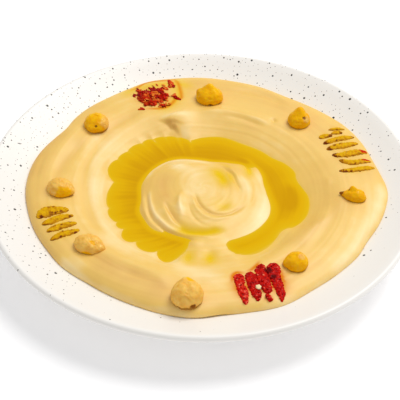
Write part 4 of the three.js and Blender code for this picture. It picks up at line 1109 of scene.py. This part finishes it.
# The pink fifth shade is a painted highlight on the wet chilli; the last is the pale seed's colour
RED_SHADES = ["#4A0000", "#8C0000", "#BA0500", "#DC2008", "#F4745A", "#F4D8A4"]
LUMPS_PER_ROW = 44
LUMP_SIZES = (0.5, 1.2)
# Lumps reach as far as the pink painted highlight
LUMP_SHADES = (0.15, 0.82)
DARK_LUMPS = [(29.5, -55.2, 1.6), (31.6, -58.9, 1.3)]  # as (x, y, size)
PALE_SEED = {"at": (25, -65.8), "size": 2.6, "shade": 1.15}
# Heaps as ellipses with two half lengths in mm, a turn in degrees, a number of flakes and a
# height in mm.
FLAKE_HEAPS = [
    {"middle": (-25.6, 65.8), "reach": (6.6, 7.2), "turn": -30, "flakes": 200, "high": 0.8},
    {"middle": (-28, 62.8), "reach": (5, 2.6), "turn": -38, "flakes": 80, "high": 1},
    {"middle": (-20.6, 66.4), "reach": (3.4, 5.4), "turn": 12, "flakes": 36, "high": 0.7},
    {"middle": (-16.6, 76.6), "reach": (1.6, 3.4), "turn": 10, "flakes": 16, "high": 0.6},
    {"middle": (-14.2, 65.8), "reach": (2.4, 1.2), "turn": -40, "flakes": 10, "high": 0.4},
    {"middle": (-19.2, 59), "reach": (3.8, 0.8), "turn": 30, "flakes": 11, "high": 0.3},
    {"middle": (-33.4, 68.6), "reach": (0.9, 4), "turn": -15, "flakes": 7, "high": 0.2},
    {"middle": (-21.6, 73.6), "reach": (5, 2.6), "turn": -5, "flakes": 14, "high": 0.3},
    {"middle": (-30.2, 56), "reach": (0.6, 0.7), "turn": 0, "flakes": 5, "high": 0.4},
]
FLAKE_SIZES = (1.5, 4)
FLAKE_NARROWNESS = (0.3, 0.6)
FLAKE_LIE = (-42, 26)  # mean and spread of the way that flakes point, in degrees
FLAKE_THICKNESS = 0.2
FLAKE_SHADES = ["#8C0400", "#B00A00", "#CC1C02", "#E04A0C", "#F08C30"]
chilli_draw = random.Random(5)


def add_grain(bm, place, size, detail, draw):
    """Adds a lump: a small ball, squashed, dented and turned at random."""
    ball = bmesh.ops.create_icosphere(bm, subdivisions=detail, radius=1)["verts"]
    turned = (Matrix.Rotation(draw.uniform(0, math.tau), 3, "Z")
              @ Matrix.Rotation(draw.uniform(-0.5, 0.5), 3, "X"))
    squash = Vector((1, draw.uniform(0.6, 1), draw.uniform(0.35, 0.6))) * size / 2
    seed = Vector((draw.uniform(0, 50), 0, 0))
    for vert in ball:
        dent = 1 + 0.35 * noise.noise(vert.co * 1.6 + seed)
        vert.co = place + turned @ Vector(vert.co[i] * squash[i] * dent for i in range(3))
    return ball


red_bm = bmesh.new()
shade_layer = red_bm.verts.layers.float.new("shade")
for number, row in enumerate(RED_ROWS):
    verts, along, across, top = lay_row(red_bm, row["path"], row["widths"], RED_HEIGHT, RED_GRAIN,
                                        RED_BLUNTNESS, number * 5.3 + 40)
    x, y, _ = points_of(verts)
    dark = sum(ease(1.5 - np.hypot(x - dark_x, y - dark_y) / reach)
               for dark_x, dark_y, reach in DARK_LUMPS)
    dark = np.minimum(dark, 1)
    shade = RED_MIDDLE + RED_CLUMPS * clumps(x, y, 1.3, number) + RED_TOP_LIGHT * top
    shade += row.get("bright", 0)
    mark_points(verts, shade_layer, shade * (1 - 0.85 * dark))
    places = [vert.co.copy() for vert in verts]
    lumps = [chilli_draw.randrange(len(verts)) for _ in range(LUMPS_PER_ROW)]
    for lump in (n for n in lumps if abs(across[n]) < 0.85 and 0.03 < along[n] < 0.97):
        ball = add_grain(red_bm, places[lump], chilli_draw.uniform(*LUMP_SIZES), 2, chilli_draw)
        value = chilli_draw.uniform(*LUMP_SHADES) * (1 - 0.8 * dark[lump])
        for vert in ball:
            vert[shade_layer] = value
for vert in add_grain(red_bm, on_surface(PALE_SEED["at"], RED_HEIGHT), PALE_SEED["size"], 3,
                      chilli_draw):
    vert[shade_layer] = PALE_SEED["shade"]
wet_rim(hummus, "stained", [(row["soak"], 0.5 * max(row["widths"]) + 0.4, row["path"])
                            for row in RED_ROWS])
red_finish = spice_material("crushed_red_chilli", RED_SHADES, 0.4, 0.06, 0.8)
finish_piece(red_bm, "red_chilli_rows", red_finish, "red_chilli")


def add_flake(bm, place, size, tilt, turn, draw):
    """Adds a flake: a thin six-sided scrap with uneven corners, lying at a slant."""
    ring = bmesh.ops.create_circle(bm, cap_ends=True, segments=6, radius=size / 2)["verts"]
    narrow = draw.uniform(*FLAKE_NARROWNESS)
    for vert in ring:
        vert.co *= draw.uniform(0.7, 1.15)
        vert.co.y *= narrow
        vert.co.z += draw.uniform(-0.08, 0.08) * size
    top = extrude(bm, list(ring[0].link_faces))
    for vert in top:
        vert.co.z += FLAKE_THICKNESS
    turned = Matrix.Rotation(turn, 3, "Z") @ Matrix.Rotation(tilt, 3, "X")
    for vert in ring + top:
        vert.co = place + turned @ vert.co
    return ring + top


flake_bm = bmesh.new()
shade_layer = flake_bm.verts.layers.float.new("shade")
for heap in FLAKE_HEAPS:
    out = np.sqrt([chilli_draw.random() for _ in range(heap["flakes"])])
    angle = np.array([chilli_draw.uniform(0, math.tau) for _ in out])
    heap_turn = math.radians(heap["turn"])
    long, short = heap["reach"][0] * out * np.cos(angle), heap["reach"][1] * out * np.sin(angle)
    x = heap["middle"][0] + long * math.cos(heap_turn) - short * math.sin(heap_turn)
    y = heap["middle"][1] + long * math.sin(heap_turn) + short * math.cos(heap_turn)
    for place_x, place_y, ground, share in zip(x, y, surface(x, y), out):
        rise = 0.08 + heap["high"] * (1 - share ** 2) * chilli_draw.random()
        verts = add_flake(flake_bm, Vector((place_x, place_y, ground + rise)),
                          chilli_draw.uniform(*FLAKE_SIZES), chilli_draw.gauss(0, 0.3),
                          math.radians(chilli_draw.gauss(*FLAKE_LIE)), chilli_draw)
        shade = chilli_draw.random() ** 1.1
        for vert in verts:
            vert[shade_layer] = shade
flake_finish = spice_material("red_chilli_flakes", FLAKE_SHADES, 0.4, 0.06, 0.7)
finish_piece(flake_bm, "red_chilli_flakes", flake_finish, "red_chilli")

# Table, light and camera: a plain white table under soft daylight, with a wide lamp at the right
# and a little behind.
TABLE_SIZE = 6.0
CAMERA_ELEVATION = 41.63
CAMERA_DISTANCE = 0.7
CAMERA_TARGET = Vector((-0.887, -3.887, 13.2)) * MM
CAMERA_ROLL = 0.9913
CAMERA_LENS = 135.86
LAMP_AZIMUTH = 42
LAMP_ELEVATION = 60
LAMP_DISTANCE = 1.6
LAMP_POWER = 16
DAYLIGHT = 0.57

table_bm = bmesh.new()
bmesh.ops.create_grid(table_bm, x_segments=1, y_segments=1, size=TABLE_SIZE / 2)
table_finish, table_shader = new_material("white_table")
set_inputs(table_finish, table_shader, {
    "Base Color": colour("#F6F6F8"), "Roughness": 0.9, "Emission Color": colour("#FFFFFF"),
    "Emission Strength": 0.2})
table_top = make_object(table_bm, "table_top", table_finish)

world = bpy.data.worlds.new("daylight")
bpy.context.scene.world = world
world.use_nodes = True
world.node_tree.nodes["Background"].inputs["Color"].default_value = colour("#FFFFFF")
world.node_tree.nodes["Background"].inputs["Strength"].default_value = DAYLIGHT

lamp = bpy.data.lights.new("wide_lamp", "AREA")
lamp.shape = "DISK"
lamp.size = 1
lamp.energy = LAMP_POWER
lamp.color = (1, 0.985, 0.96)
lamp_object = bpy.data.objects.new("wide_lamp", lamp)
azimuth, elevation = math.radians(LAMP_AZIMUTH), math.radians(LAMP_ELEVATION)
towards_lamp = Vector((math.cos(azimuth) * math.cos(elevation),
                       math.sin(azimuth) * math.cos(elevation), math.sin(elevation)))
lamp_object.location = towards_lamp * LAMP_DISTANCE
lamp_object.rotation_euler = towards_lamp.to_track_quat("Z", "Y").to_euler()
bpy.context.scene.collection.objects.link(lamp_object)

camera = bpy.data.cameras.new("camera")
camera.lens = CAMERA_LENS
camera.clip_start = 0.05
camera_object = bpy.data.objects.new("camera", camera)
tilt = math.radians(CAMERA_ELEVATION)
back = Vector((0, -math.cos(tilt), math.sin(tilt)))
camera_turn = (Matrix.Rotation(math.pi / 2 - tilt, 4, "X")
               @ Matrix.Rotation(math.radians(CAMERA_ROLL), 4, "Z"))
camera_place = Matrix.Translation(CAMERA_TARGET + back * CAMERA_DISTANCE)
camera_object.matrix_world = camera_place @ camera_turn
bpy.context.scene.collection.objects.link(camera_object)
bpy.context.scene.camera = camera_object
bpy.context.scene.view_settings.view_transform = "Standard"
